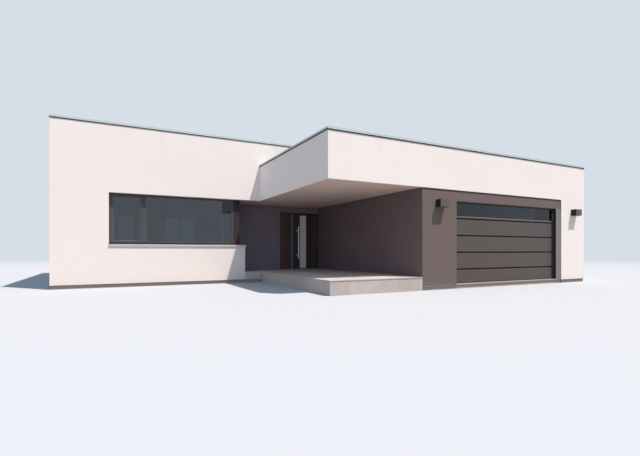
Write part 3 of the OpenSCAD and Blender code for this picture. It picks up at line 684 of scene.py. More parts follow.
white_low = render_finish("white_render_low", WHITE, low_rain_z)
white_tall = render_finish("white_render_tall", WHITE, tall_rain_z)
wing_render = render_finish("wing_upper_render", WHITE, tall_rain_z, zones=UNDERSIDE_PAINTED_SHADE)
white_pier = render_finish("white_render_pier", WHITE)
fascia_render = render_finish("fascia_render", WHITE, low_rain_z, zones=UNDERSIDE_PAINTED_SHADE)
brown_front = render_finish(
    "brown_render_front", BROWN, cloud=0.10,
    # the strip beside the door is painted light and the left-facing reveal painted shade
    zones=INSIDE + [(right_jamb_painted_light, JAMB_PAINTED_LIGHT_GREY), (right_reveal_painted_shade, REVEAL_PAINTED_SHADE)])
brown_side = render_finish("brown_render_side", SIDE_BROWN_PAINTED_SKY_TINT, cloud=0.10, splash=0.05,
                           zones=[(beyond_porch, WHITE)])
# the porch walls take a lighter, bluer copy of the brown render, standing in for sky light on walls
# in shade: painted light
porch_render_painted_skylight = render_finish("porch_render_painted_skylight", PORCH_BROWN_PAINTED_SKYLIGHT, cloud=0.10, splash=0.0, zones=INSIDE)
post_render = render_finish("post_render", POST_DARK, cloud=0.08, splash=0.0)
soffit_coat = render_finish("soffit_render", SOFFIT_PAINTED_BOUNCE, splash=0.0, depth=0.0009)
plinth_concrete = concrete_finish("plinth_concrete", tone(168, 156, 150))
garage_concrete = concrete_finish("garage_floor_concrete", tone(160, 155, 148), 0.0008)
slab_concrete = concrete_finish("slab_concrete", tone(150, 149, 145), 0.0015,
                                ceiling=INDOOR_WHITE)
house_stone = stone_finish("house_floor_stone", 0.6, 0.0015)
porch_stone = stone_finish("porch_stone", 0.8, 0.0)
gravel = gravel_finish("roof_gravel")
coping_coat = sheet_finish("coping_coat", COPING, gloss=0.36, metallic=0.15, dusty=0.3)
# near-black coat for the cleats, which stands for the shadow under the copings: painted shadow
cleat_painted_shade_coat = sheet_finish("coping_cleat_coat", (0.054, 0.065, 0.066, 1.0), gloss=0.5)
sill_coat = sheet_finish("sill_coat", tone(190, 192, 191), gloss=0.34, metallic=0.25, dusty=0.25)
frame_coat = sheet_finish("window_frame_coat", ANTHRACITE, gloss=0.36, dusty=0.1)
# the lower bars of the corner window are darker: painted shade
corner_frame_coat = sheet_finish("corner_frame_coat", CORNER_GREY, gloss=0.4, shine=0.25,
                                 zones=[(lower_bars_painted_shade, (0.022, 0.025, 0.027, 1.0))])
sash_coat = sheet_finish("sash_coat", CORNER_GREY, gloss=0.4, shine=0.25)
door_coat = sheet_finish("door_frame_coat", (0.040, 0.037, 0.041, 1.0), gloss=0.36, dusty=0.15)
plate_coat = sheet_finish("edge_plate_coat", (0.22, 0.22, 0.225, 1.0), gloss=0.4, metallic=0.5)
# the upper run of the bead is near black, standing for the shade under the header: painted shade
bead_coat = sheet_finish("pane_bead_coat", (0.135, 0.136, 0.142, 1.0), gloss=0.35,
                         zones=[(upper_bead_painted_shade, (0.010, 0.009, 0.010, 1.0))])
# near-black, dull coat of the section seals, which also stands for the shade in the grooves: partly
# painted shade
line_seal_painted_shade_coat = sheet_finish("section_line_coat", (0.009, 0.005, 0.0045, 1.0), gloss=0.8, shine=0.1)
lamp_front = sheet_finish("lamp_front_coat", (0.092, 0.079, 0.074, 1.0), gloss=0.4, dusty=0.2)
lamp_coat = sheet_finish("lamp_coat", (0.017, 0.013, 0.013, 1.0), gloss=0.5, dusty=0.2, shine=0.3)
# the lower runs of the spacers are darker: painted shade
pane_edge_coat = sheet_finish("pane_edge_coat", (0.36, 0.37, 0.39, 1.0), gloss=0.42,
                              zones=[(lower_bars_painted_shade, (0.03, 0.033, 0.035, 1.0))])
foot_coat = sheet_finish("foot_rail_coat", (0.16, 0.14, 0.135, 1.0), gloss=0.5)
window_glass = glass_finish("window_glass", (0.13, 0.15, 0.19, 1.0), bend=1.75)
garage_glass = glass_finish("garage_glass", (0.05, 0.055, 0.06, 1.0))
strip_glass = glass_finish("frosted_strip_glass", (0.97, 0.94, 0.97, 1.0), rough=0.35,
                           clear=0.10, frost=0.1)
lamp_lens = glass_finish("lamp_glass", (0.85, 0.86, 0.84, 1.0), rough=0.25, clear=0.7, frost=0.1)
panel_coat = panel_finish("garage_panel_coat", PANEL_BROWN, garage_floor_z)
zinc_coat = brushed_finish("galvanised_steel", (0.55, 0.57, 0.58, 1.0), 0.42,
                           lines=(14.0, 14.0, 14.0), depth=0.0001)
steel_coat = brushed_finish("stainless_steel", (0.93, 0.925, 0.94, 1.0), 0.24)
board_wood = wood_finish("entrance_boards", tone(92, 64, 62), tone(58, 38, 40), (9.0, 9.0, 0.7))
rubber = rubber_finish("black_rubber")
membrane = membrane_finish("roof_membrane")

FINISHES = {
    white_tall: ["left_wall", "rear_wall_tall"],
    wing_render: ["wing_upper_wall"],
    white_low: ["rear_wall_low", "right_wall"],
    fascia_render: ["front_fascia", "canopy_side_fascia"],
    white_pier: ["wing_front_pier", "window_apron", "garage_white_pier"],
    brown_side: ["garage_side_wall"],
    brown_front: ["garage_portal"],
    post_render: ["corner_post"],
    porch_render_painted_skylight: ["porch_wall_left", "porch_wall_over_door"],
    plinth_concrete: ["foundation"],
    garage_concrete: ["garage_floor"],
    slab_concrete: ["low_roof_slab", "tall_roof_slab"],
    house_stone: ["house_floor"],
    porch_stone: ["porch_slab"],
    soffit_coat: ["canopy_soffit"],
    gravel: ["roof_gravel"],
    coping_coat: ["low_coping", "tall_coping"],
    sill_coat: ["window_sills"],
    frame_coat: ["window_frames"],
    corner_frame_coat: ["corner_window_frame"],
    sash_coat: ["corner_window_sash"],
    door_coat: ["entrance_frame", "entrance_leaf"],
    plate_coat: ["entrance_edge_plate"],
    steel_coat: ["entrance_pull_bar", "entrance_frame_hinges", "entrance_leaf_hinges"],
    window_glass: ["corner_window_glass", "window_glass"],
    garage_glass: ["garage_door_glazing"],
    strip_glass: ["entrance_leaf_glass"],
    lamp_lens: ["wall_lamp_glass"],
    panel_coat: ["garage_door_section_%d" % k for k in range(1, 6)],
    zinc_coat: ["garage_door_tracks", "garage_door_rollers"],
    board_wood: ["entrance_side_panels"],
    lamp_coat: ["wall_lamps"],
}
for finish, names in FINISHES.items():
    for name in names:
        for holder in NODES[name].material_slots:
            holder.material = finish


# geometry node trees for what repeats

FULL_TURN = (6.28, 6.28, 6.28)
SAME_SPOT = 0.01    # points of a row that lie closer than this are one


def new_maker(name, inputs):
    """an empty geometry node tree that takes and gives geometry"""
    tree = bpy.data.node_groups.new(name, "GeometryNodeTree")
    kinds = {"g": "NodeSocketGeometry", "f": "NodeSocketFloat", "i": "NodeSocketInt",
             "v": "NodeSocketVector", "o": "NodeSocketObject", "m": "NodeSocketMaterial"}
    for key, kind in [("Geometry", "g")] + inputs + [("Unit", "o"), ("Material", "m")]:
        tree.interface.new_socket(name=key, in_out="INPUT", socket_type=kinds[kind])
    tree.interface.new_socket(name="Geometry", in_out="OUTPUT", socket_type=kinds["g"])
    web = Web(tree)
    given = web.add("NodeGroupInput").outputs
    put = web.add("NodeGroupOutput").inputs
    return tree, web, given, put


def end_maker(web, given, put, points, rotation, scale=(1.0, 1.0, 1.0)):
    """sets the unit on each point and makes the result one plain mesh"""
    unit = web.add("GeometryNodeObjectInfo", {"Object": given["Unit"]}).outputs["Geometry"]
    placed = web.add("GeometryNodeInstanceOnPoints", {
        "Points": points, "Instance": unit, "Rotation": rotation, "Scale": scale})
    real = web.add("GeometryNodeRealizeInstances", {"Geometry": placed.outputs["Instances"]})
    coated = web.add("GeometryNodeSetMaterial", {
        "Geometry": real.outputs["Geometry"], "Material": given["Material"]})
    web.put(coated.outputs["Geometry"], put["Geometry"])


def row_maker():
    """units along paths, a spacing apart, all turned the same way"""
    tree, web, given, put = new_maker("row_of_units", [("Spacing", "f"), ("Turn", "v")])
    curve = web.add("GeometryNodeMeshToCurve", {"Mesh": given["Geometry"]}).outputs["Curve"]
    spaced = web.add("GeometryNodeResampleCurve", {"Curve": curve, "Length": given["Spacing"]},
                     mode="LENGTH")
    points = web.add("GeometryNodeCurveToPoints", {"Curve": spaced.outputs["Curve"]},
                     mode="EVALUATED").outputs["Points"]
    single = web.add("GeometryNodeMergeByDistance", {"Geometry": points, "Distance": SAME_SPOT})
    end_maker(web, given, put, single.outputs["Geometry"], given["Turn"])
    return tree


def scatter_maker():
    """units strewn over faces, each turned and sized by chance from a fixed seed"""
    tree, web, given, put = new_maker(
        "strewn_units", [("Density", "f"), ("Least", "f"), ("Most", "f"), ("Seed", "i")])
    points = web.add("GeometryNodeDistributePointsOnFaces", {
        "Mesh": given["Geometry"], "Density": given["Density"],
        "Seed": given["Seed"]}).outputs["Points"]
    turn = web.add("FunctionNodeRandomValue", {
        "Min": (0.0, 0.0, 0.0), "Max": FULL_TURN, "Seed": given["Seed"]},
        data_type="FLOAT_VECTOR").outputs["Value"]
    size = web.add("FunctionNodeRandomValue", {
        2: given["Least"], 3: given["Most"], "Seed": given["Seed"]}).outputs[1]
    end_maker(web, given, put, points, turn, size)
    return tree


def slab_maker():
    """units on the points of a grid, each tilted a little by chance from a fixed seed"""
    tree, web, given, put = new_maker(
        "slabs_on_grid", [("Width", "f"), ("Depth", "f"), ("Columns", "i"), ("Rows", "i"),
                          ("Middle", "v"), ("Tilt", "f"), ("Seed", "i")])
    grid = web.add("GeometryNodeMeshGrid", {
        "Size X": given["Width"], "Size Y": given["Depth"], "Vertices X": given["Columns"],
        "Vertices Y": given["Rows"]}).outputs["Mesh"]
    moved = web.add("GeometryNodeTransform", {
        "Geometry": grid, "Translation": given["Middle"]}).outputs["Geometry"]
    span = web.add("ShaderNodeCombineXYZ", {"X": given["Tilt"], "Y": given["Tilt"]}).outputs[0]
    lean = web.add("FunctionNodeRandomValue", {
        "Min": (0.0, 0.0, 0.0), "Max": span, "Seed": given["Seed"]},
        data_type="FLOAT_VECTOR").outputs["Value"]
    end_maker(web, given, put, moved, lean)
    return tree


ROW = row_maker()
STREWN = scatter_maker()
SLABS = slab_maker()


def unit_object(bm):
    """a source object for the trees, taken away after use"""
    bmesh.ops.recalc_face_normals(bm, faces=bm.faces)
    return smooth_object("unit", bm)


def path_mesh(stretches=()):
    """a mesh of loose edges, one for each (start, end)"""
    mesh = bpy.data.meshes.new("paths")
    spots = [spot for stretch in stretches for spot in stretch]
    mesh.from_pydata(spots, [(2 * k, 2 * k + 1) for k in range(len(stretches))], [])
    return mesh


def make(tree, mesh, unit, material, values):
    """runs a tree on a mesh and returns the plain mesh that it makes"""
    holder = linked(bpy.data.objects.new("holder", mesh))
    maker = holder.modifiers.new("maker", "NODES")
    maker.node_group = tree
    values = {"Unit": unit, "Material": material, **values}
    for item in tree.interface.items_tree:
        if item.in_out == "INPUT" and item.name in values:
            maker[item.identifier] = values[item.name]
    shown = holder.evaluated_get(bpy.context.evaluated_depsgraph_get())
    result = bpy.data.meshes.new_from_object(shown)
    holder.modifiers.remove(maker)
    bpy.data.objects.remove(holder)
    return result


def make_row(unit, paths, material, spacing, turn=0.0):
    """units along (start, end) paths, turned about the upright"""
    return make(ROW, path_mesh(paths), unit, material,
                {"Spacing": spacing, "Turn": (0.0, 0.0, turn)})


def gather(name, body, meshes, soft_angle=SOFT_ANGLE):
    """joins made meshes into one piece with the material that the tree set last"""
    bm = bmesh.new()
    for mesh in meshes:
        bm.from_mesh(mesh)
    for face in bm.faces:
        face.material_index = 0
    piece = smooth_object(name, bm, soft_angle)
    finish_piece(piece, body, meshes[0].materials[-1])


# roofs

def coping_path(grow):
    """the outer line of a coping from its outer foot over the wall to its inner foot"""
    kick = 0.010
    leg = coping_out - kick + grow
    knee = coping_h - kick
    foot = coping_out + grow
    return [(-foot, -coping_h), (-leg, -knee), (-leg, grow), (wall_t + leg, grow),
            (wall_t + leg, -knee), (wall_t + foot, -coping_h)]


COPING_RUNS = [    # (top, start, end, turn) of each straight run, its outer face on the right
    (low_top_z, (canopy_x, white_y), (right_x, white_y), 0.0),
    (low_top_z, (right_x, white_y), (right_x, rear_y), math.pi / 2),
    (low_top_z, (right_x, rear_y), (spine_x, rear_y), math.pi),
    (low_top_z, (canopy_x, wing_y), (canopy_x, white_y), -math.pi / 2),
    (tall_top_z, (left_x, wing_y), (spine_x, wing_y), 0.0),
    (tall_top_z, (spine_x, wing_y), (spine_x, rear_y), math.pi / 2),
    (tall_top_z, (spine_x, rear_y), (left_x, rear_y), math.pi),
    (tall_top_z, (left_x, rear_y), (left_x, wing_y), -math.pi / 2)]


def coping_cleats():
    """dark cleats under the copings that deepen the shadow below the coping lip: painted shadow,
    drawn as cleats that hold the outer leg of the copings to the walls
    """
    bm = bmesh.new()
    for z, start, end, turn in COPING_RUNS:
        foot = z - coping_h
        run(bm, box_outline(SKIN, 0.005, foot - 0.034, foot + 0.012), (*start, 0), (*end, 0),
            Matrix.Rotation(turn, 3, "Z") @ -NORTH)
    keep("coping_cleats", HOUSE, bm, cleat_painted_shade_coat)


def coping_straps():
    """cover straps over the joints between the lengths of coping"""
    width, sheet, lift, longest = 0.07, 0.0012, 0.0004, 3.0
    bm = bmesh.new()
    outline = coping_path(lift + sheet) + coping_path(lift)[::-1]
    run(bm, outline, (-width / 2, 0, 0), (width / 2, 0, 0), NORTH)
    strap = unit_object(bm)
    meshes = []
    for z, start, end, turn in COPING_RUNS:
        a, b = Vector((*start, z)), Vector((*end, z))
        along = (b - a).normalized()
        lengths = max(2, round((b - a).length / longest))
        pitch = (b - a).length / lengths
        path = (a + along * pitch, b - along * pitch)
        if lengths == 2:    # a single joint: a path too short for a second strap
            path = (a + along * pitch, a + along * (pitch + 0.001))
        meshes.append(make_row(strap, [path], coping_coat, pitch, turn))
    bpy.data.objects.remove(strap)
    gather("coping_straps", HOUSE, meshes)


UPSTAND_T, RAIL_H, RAIL_T = 0.004, 0.045, 0.006


def roof_sides():
    """inner faces round both roofs: (start, end, inward direction, foot, top)"""
    low_in_x, low_in_y = canopy_x + wall_t, high("front_fascia").y
    right_in, rear_in = low("right_wall").x, low("rear_wall_low").y
    foot, top = low_gravel_z, low_rain_z
    against_wall = foot + 0.32
    sides = [
        ((low_in_x, low_in_y), (right_in, low_in_y), NORTH, foot, top),
        ((right_in, low_in_y), (right_in, rear_in), -EAST, foot, top),
        ((right_in, rear_in), (spine_x, rear_in), -NORTH, foot, top),
        ((spine_x, rear_in), (spine_x, wing_y), EAST, foot, against_wall),
        ((spine_x, wing_y), (low_in_x, wing_y), -NORTH, foot, against_wall),
        ((low_in_x, wing_y), (low_in_x, low_in_y), EAST, foot, top)]
    x0, x1 = left_x + wall_t, side_x
    y0, y1 = wing_y + wall_t, rear_in
    foot, top = tall_gravel_z, tall_rain_z
    sides += [((x0, y0), (x1, y0), NORTH, foot, top), ((x1, y0), (x1, y1), -EAST, foot, top),
              ((x1, y1), (x0, y1), -NORTH, foot, top), ((x0, y1), (x0, y0), EAST, foot, top)]
    return sides


def roof_upstands():
    """membrane turned up the inner faces, with a clamping rail"""
    sheet, fillet, edge = UPSTAND_T, 0.03, 0.004
    bm = bmesh.new()
    rails = bmesh.new()
    for start, end, inward, foot, top in roof_sides():
        a, b = Vector((*start, 0)), Vector((*end, 0))
        along = (b - a).normalized()
        a, b = a + along * sheet, b - along * sheet
        run(bm, box_outline(SKIN, sheet, foot - 0.02, top), a, b, inward)
        run(bm, [(sheet, foot), (fillet, foot), (sheet, foot + fillet)], a, b, inward)
        run(rails, [(sheet, top - RAIL_H), (sheet + RAIL_T, top - RAIL_H + edge),
                    (sheet + RAIL_T, top - edge), (sheet, top)],
            a + along * 0.01, b - along * 0.01, inward)
    keep("roof_upstands", HOUSE, bm, membrane)
    keep("roof_clamping_rails", HOUSE, rails, zinc_coat)


def rail_screws():
    """screws along the clamping rails"""
    bm = bmesh.new()
    turned(bm, [(0.0004, 0.004), (0.004, 0.0035), (0.0065, 0.0018), (0.0065, 0.0), (0.0004, 0.0)],
           (0, 0, 0), NORTH, 8)
    screw = unit_object(bm)
    meshes = []
    for start, end, inward, foot, top in roof_sides():
        shift = Vector((0, 0, top - RAIL_H / 2)) + inward * (UPSTAND_T + RAIL_T)
        a, b = Vector((*start, 0)) + shift, Vector((*end, 0)) + shift
        turn = math.atan2(inward.y, inward.x) - math.pi / 2
        meshes.append(make_row(screw, [(a.lerp(b, 0.02), a.lerp(b, 0.98))], steel_coat, 0.25, turn))
    bpy.data.objects.remove(screw)
    gather("rail_screws", HOUSE, meshes)


def loose_pebbles():
    """larger pebbles lying on the gravel"""
    bm = bmesh.new()
    bmesh.ops.create_icosphere(bm, subdivisions=1, radius=1.0)
    for v in bm.verts:
        v.co = Vector((v.co.x, v.co.y * 0.72, v.co.z * 0.55))
        v.co *= 1.0 + 0.12 * math.sin(5.1 * v.co.x + 3.3 * v.co.y + 7.7 * v.co.z)
    stone = unit_object(bm)
    inset = 0.05
    right_in, rear_in = low("right_wall").x, low("rear_wall_low").y
    beds = [(canopy_x + wall_t, white_y + wall_t, right_in, wing_y, low_gravel_z),
            (spine_x, wing_y, right_in, rear_in, low_gravel_z),
            (left_x + wall_t, wing_y + wall_t, side_x, rear_in, tall_gravel_z)]
    spots, faces = [], []
    for x0, y0, x1, y1, z in beds:
        faces.append(tuple(range(len(spots), len(spots) + 4)))
        spots += [(x0 + inset, y0 + inset, z), (x1 - inset, y0 + inset, z),
                  (x1 - inset, y1 - inset, z), (x0 + inset, y1 - inset, z)]
    mesh = bpy.data.meshes.new("beds")
    mesh.from_pydata(spots, [], faces)
    made = make(STREWN, mesh, stone, gravel,
                {"Density": 11.0, "Least": 0.011, "Most": 0.024, "Seed": 7})
    bpy.data.objects.remove(stone)
    gather("loose_pebbles", HOUSE, [made], 60.0)


def roof_outlets():
    """slotted gravel guards over the rainwater outlets"""
    bars = 14
    bm = bmesh.new()
    spots = [(right_x - 1.6, rear_y - 1.5, low_gravel_z),
             (canopy_x + 1.2, white_y + 1.3, low_gravel_z),
             (left_x + 1.5, rear_y - 1.5, tall_gravel_z)]
    for spot in spots:
        turned(bm, [(0.001, 0.0), (0.13, 0.0), (0.135, 0.006), (0.115, 0.012), (0.112, 0.07),
                    (0.095, 0.085), (0.03, 0.092), (0.001, 0.093)], spot, UP, 28)
        for k in range(bars):
            turn = Matrix.Rotation(2 * math.pi * k / bars, 3, "Z")
            a = Vector(spot) + turn @ Vector((0.116, 0, 0.014))
            rod(bm, [a, a + Vector((0, 0, 0.05))], 0.004, 6)
    keep("roof_outlet_guards", HOUSE, bm, zinc_coat)


# walls

def foot_rails():
    """slim drip rail under the render, along the foot of the outer walls"""
    bm = bmesh.new()
    outline = [(-0.03, 0.0), (0.006, -0.004), (0.007, -0.002), (0.004, 0.006), (SKIN, 0.012),
               (-SKIN, 0.0005), (-0.03, 0.001)]
    stretches = [
        ((left_x, rear_y), (left_x, wing_y), -EAST),
        ((left_x, wing_y), (wing_x, wing_y), -NORTH),
        ((side_x, portal_y), (low("garage_door_section_1").x, portal_y), -NORTH),
        ((high("garage_door_section_1").x, portal_y), (high("garage_portal").x, portal_y), -NORTH),
        ((white_pier_x, white_y), (right_x, white_y), -NORTH),
        ((right_x, white_y), (right_x, rear_y), EAST),
        ((right_x, rear_y), (left_x, rear_y), NORTH)]
    for start, end, out in stretches:
        run(bm, outline, (*start, plinth_z), (*end, plinth_z), out)
    keep("render_foot_rails", HOUSE, bm, foot_coat)


def drip_beads():
    """slim bead with a drip edge along the lower edges of the canopy, fascia and living wing"""
    bm = bmesh.new()
    bead = [(0.0, 0.0), (-0.002, -0.001), (-0.003, -0.004), (-0.006, -0.004), (-0.008, 0.0),
            (-0.016, 0.0), (-0.016, 0.0006), (0.0, 0.0006)]
    window_x = left_x + 1.6
    for start, end, out in [((canopy_x, white_y), (right_x, white_y), -NORTH),
                            ((canopy_x, white_y), (canopy_x, wing_y), -EAST),
                            ((window_x, wing_y), (wing_x, wing_y), -NORTH)]:
        run(bm, bead, (*start, head_z), (*end, head_z), out)
    keep("drip_beads", HOUSE, bm, white_pier)


def shadow_gaps():
    """dark joints between the soffit and the porch walls, and a dark strip round the brown garage
    front that is a joint and also painted shadow of the fascia above
    """
    bm = bmesh.new()
    gap, depth, clear, y = 0.03, 0.004, 0.0004, portal_y
    door_top = high("garage_door_section_5").z
    # the strip under the fascia and down the side of the pier stands for the shadow the fascia
    # casts as well as for a joint: painted shadow
    run(bm, box_outline(SKIN, depth, head_z - gap, head_z - clear), (side_x, y, 0),
        (white_pier_x - clear, y, 0), -NORTH)
    block(bm, (white_pier_x - 0.02, y - depth, door_top),
          (white_pier_x - clear, y - SKIN, head_z - gap))
    outline = box_outline(clear, 0.012, -0.0015, -0.0001)
    run(bm, outline, (side_x, white_y + wall_t, head_z), (side_x, porch_wall_y, head_z), -EAST)
    run(bm, outline, (wing_x, porch_wall_y, head_z), (side_x, porch_wall_y, head_z), -NORTH)
    keep("shadow_gaps", HOUSE, bm, rubber)


# windows

def outward(mid, size):
    """the way out of the house from a pane or bar, by the wall that it lies in"""
    if size.x < size.y:
        return EAST if mid.x > left_x + wall_t else -EAST
    return NORTH if mid.y > rear_y - wall_t else -NORTH


def pane_places():
    """each pane as (middle, right, outward, half width, half height, thickness) between its bars"""
    places = []
    for lo, hi in solids_of("window_glass") + solids_of("corner_window_glass"):
        size, mid = hi - lo, (lo + hi) / 2
        right = NORTH if size.x < size.y else EAST
        places.append((mid, right, outward(mid, size), max(size.x, size.y) / 2 - PANE_BITE,
                       size.z / 2 - PANE_BITE, min(size.x, size.y)))
    return places


def window_gaskets():
    """rubber gaskets where the glass meets the bars, outside and inside"""
    bm = bmesh.new()
    outline = [(-0.003, 0.0), (0.006, 0.0), (0.005, 0.003), (-0.003, 0.007)]
    for mid, right, out, w, h, thick in pane_places():
        for face in (1, -1):
            ring(bm, outline, (-w, -h), (w, h), mid + out * face * thick / 2, right, out * face)
    keep("window_gaskets", HOUSE, bm, rubber)


def glass_spacers():
    """the metal spacer that shows at the edge of each double pane"""
    bm = bmesh.new()
    outline = box_outline(0.0005, 0.009, -0.0003, 0.0012)
    for mid, right, out, w, h, thick in pane_places():
        ring(bm, outline, (-w, -h), (w, h), mid + out * thick / 2, right, out)
    keep("glass_spacers", HOUSE, bm, pane_edge_coat)


def drain_caps():
    """small caps over the drain slots in the lower bars"""
    thickest_bar, over_sills = 0.1, 2.0
    bm = bmesh.new()
    for lo, hi in solids_of("window_frames") + solids_of("corner_window_frame"):
        size, mid = hi - lo, (lo + hi) / 2
        if size.z > thickest_bar or mid.z > over_sills:
            continue
        out = outward(mid, size)
        right = EAST if size.x > size.y else NORTH
        for s in (-0.36, 0.36):
            spot = mid + out * min(size.x, size.y) / 2
            spot = spot + right * max(size.x, size.y) * s - UP * 0.012
            a = spot - right * 0.016 - UP * 0.005
            b = spot + right * 0.016 + UP * 0.005 + out * 0.004
            block(bm, [min(p) for p in zip(a, b)], [max(p) for p in zip(a, b)], 0.0018)
    keep("drain_caps", HOUSE, bm, frame_coat)


def sill_ends():
    """upturned ends of the window sills; the two sills that meet at the corner have one each"""
    plate, rise, drop, depth = 0.003, 0.026, 0.04, 0.195
    bm = bmesh.new()
    for lo, hi in solids_of("window_sills"):
        along_x = hi.x - lo.x > hi.y - lo.y
        in_left_wall = hi.x < left_x + wall_t
        at_corner = not in_left_wall and hi.x < side_x and lo.y < porch_wall_y
        ends = (0, 1)
        if at_corner:
            ends = (0,) if along_x else (1,)
        for end in ends:
            if along_x:
                x0 = hi.x - plate if end else lo.x
                x1 = x0 + plate
                y0, y1 = (lo.y, lo.y + depth) if at_corner else (hi.y - depth, hi.y)
            else:
                y0 = hi.y - plate if end else lo.y
                y1 = y0 + plate
                x0, x1 = (lo.x, lo.x + depth) if in_left_wall else (hi.x - depth, hi.x)
            block(bm, (x0, y0, hi.z - drop), (x1, y1, hi.z + rise), 0.001, 1)
    keep("sill_end_plates", HOUSE, bm, sill_coat)


def sash_fittings():
    """hinge caps outside and a lever handle inside on the opening sash"""
    lo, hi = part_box("corner_window_sash")
    bm = bmesh.new()
    for z in (lo.z + 0.09, hi.z - 0.13):
        turned(bm, [(0.001, 0.0), (0.008, 0.0), (0.0085, 0.002), (0.0085, 0.05), (0.008, 0.052),
                    (0.001, 0.052)], (lo.x + 0.004, lo.y - 0.003, z), UP, 14)
    keep("sash_hinge_caps", HOUSE, bm, frame_coat)
    bm = bmesh.new()
    x, y, z = hi.x - 0.03, hi.y, (lo.z + hi.z) / 2
    block(bm, (x - 0.014, y, z - 0.035), (x + 0.014, y + 0.01, z + 0.035), 0.004)
    rod(bm, [(x, y + 0.008, z), (x, y + 0.045, z), (x, y + 0.052, z - 0.006),
             (x, y + 0.055, z - 0.03), (x, y + 0.055, z - 0.13)], 0.009)
    keep("sash_handle", HOUSE, bm, steel_coat)


# garage door

def garage_seals():
    """rubber seals at the sides, the head and the foot of the garage door"""
    gap, side_w = 0.003, 0.009
    bm = bmesh.new()
    lo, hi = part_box("garage_door_section_1")
    x0, x1, y, foot = lo.x - gap, hi.x + gap, lo.y, lo.z
    top = high("garage_door_section_5").z
    for x, side in ((x0, EAST), (x1, -EAST)):
        run(bm, [(SKIN, -0.01), (0.007, -0.009), (side_w, -0.0006), (SKIN, -0.0006)],
            (x, y, foot), (x, y, top), side, NORTH)
    run(bm, [(-0.012, -SKIN), (-0.0006, -SKIN), (-0.0006, -0.028), (-0.008, -0.024)],
        (x0 + side_w, y, top + gap), (x1 - side_w, y, top + gap), NORTH)
    run(bm, [(-0.010, 0.0), (-0.0006, 0.0), (-0.0006, 0.03), (-0.006, 0.028), (-0.012, 0.008)],
        (x0 + side_w, y, foot), (x1 - side_w, y, foot), NORTH)
    keep("garage_door_seals", HOUSE, bm, rubber)


SECTION_LINES = [low("garage_door_section_%d" % k).z for k in range(2, 6)]


def garage_trim():
    """dark seals in the lines between the sections, near black and dull so that they also stand for
    the shade in the grooves (painted shade), and a bead round the long pane
    """
    line_h = 0.0445
    bm = bmesh.new()
    lo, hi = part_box("garage_door_section_1")
    for z in SECTION_LINES:
        run(bm, box_outline(0.004, 0.0078, z - line_h, z - 0.0004), (lo.x, lo.y, 0),
            (hi.x, lo.y, 0), NORTH)
    keep("section_line_seals", HOUSE, bm, line_seal_painted_shade_coat)
    bm = bmesh.new()
    lo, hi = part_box("garage_door_glazing")
    mid, half = (lo + hi) / 2, (hi - lo) / 2
    outline = [(-0.028, SKIN), (-0.027, 0.002), (0.003, 0.003), (0.006, 0.001), (0.006, -0.0076),
               (0.0004, -0.0076), (0.0004, SKIN)]
    ring(bm, outline, (-half.x, -half.z), (half.x, half.z), Vector((mid.x, lo.y - 0.008, mid.z)),
         EAST, -NORTH)
    keep("garage_pane_bead", HOUSE, bm, bead_coat)


def section_hinges():
    """hinges between the sections, on the inner face"""
    inset, pitch = 0.9, 1.05
    bm = bmesh.new()
    block(bm, (-0.03, 0.0, -0.055), (0.03, 0.003, 0.055), 0.001, 1)
    turned(bm, [(0.001, -0.03), (0.008, -0.03), (0.008, 0.03), (0.001, 0.03)], (0, 0.006, 0),
           EAST, 12)
    hinge = unit_object(bm)
    lo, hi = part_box("garage_door_section_1")
    y = hi.y + 0.0005
    paths = [((lo.x + inset, y, z + 0.009), (hi.x - inset, y, z + 0.009)) for z in SECTION_LINES]
    made = make_row(hinge, paths, zinc_coat, pitch)
    bpy.data.objects.remove(hinge)
    gather("section_hinges", HOUSE, [made])


def track_bolts():
    """bolts that hold the upright tracks to the wall"""
    pitch, from_side = 0.42, 0.0026
    bm = bmesh.new()
    turned(bm, [(0.0005, 0.006), (0.006, 0.006), (0.008, 0.004), (0.008, 0.0), (0.0005, 0.0)],
           (0, 0, 0), EAST, 6)
    bolt = unit_object(bm)
    lo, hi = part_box("garage_door_tracks")
    y = lo.y + 0.028
    meshes = []
    for x, turn in ((lo.x + from_side, 0.0), (hi.x - from_side, math.pi)):
        path = ((x, y, lo.z + 0.12), (x, y, lo.z + 2.0))
        meshes.append(make_row(bolt, [path], steel_coat, pitch, turn))
    bpy.data.objects.remove(bolt)
    gather("track_bolts", HOUSE, meshes)


# porch and entrance

def porch_slabs():
    """stone slabs on the porch, a joint apart and each a little out of true"""
    thick, joint, nose, clear = 0.022, 0.005, 0.014, 0.0006
    front_y = low("porch_slab").y - nose
    x0, x1 = canopy_x + 0.07 - nose, side_x - clear
    rear_end = porch_wall_y - clear
    meshes = []
    for ax, bx, ay, by, columns, rows in [(x0, x1, front_y, wing_y, 4, 6),
                                          (x0, x1, wing_y, rear_end, 4, 2),
                                          (wing_x + clear, x0, wing_y, rear_end, 1, 2)]:
        w, d = (bx - ax) / columns, (by - ay) / rows
        bm = bmesh.new()
        block(bm, (-w / 2 + joint / 2, -d / 2 + joint / 2, 0.0003),
              (w / 2 - joint / 2, d / 2 - joint / 2, thick), 0.002)
        slab = unit_object(bm)
        meshes.append(make(SLABS, path_mesh(), slab, porch_stone, {
            "Width": w * (columns - 1), "Depth": d * (rows - 1), "Columns": columns, "Rows": rows,
            "Middle": ((ax + bx) / 2, (ay + by) / 2, floor_z), "Tilt": 0.0004, "Seed": 11}))
        bpy.data.objects.remove(slab)
    gather("porch_slabs", HOUSE, meshes)


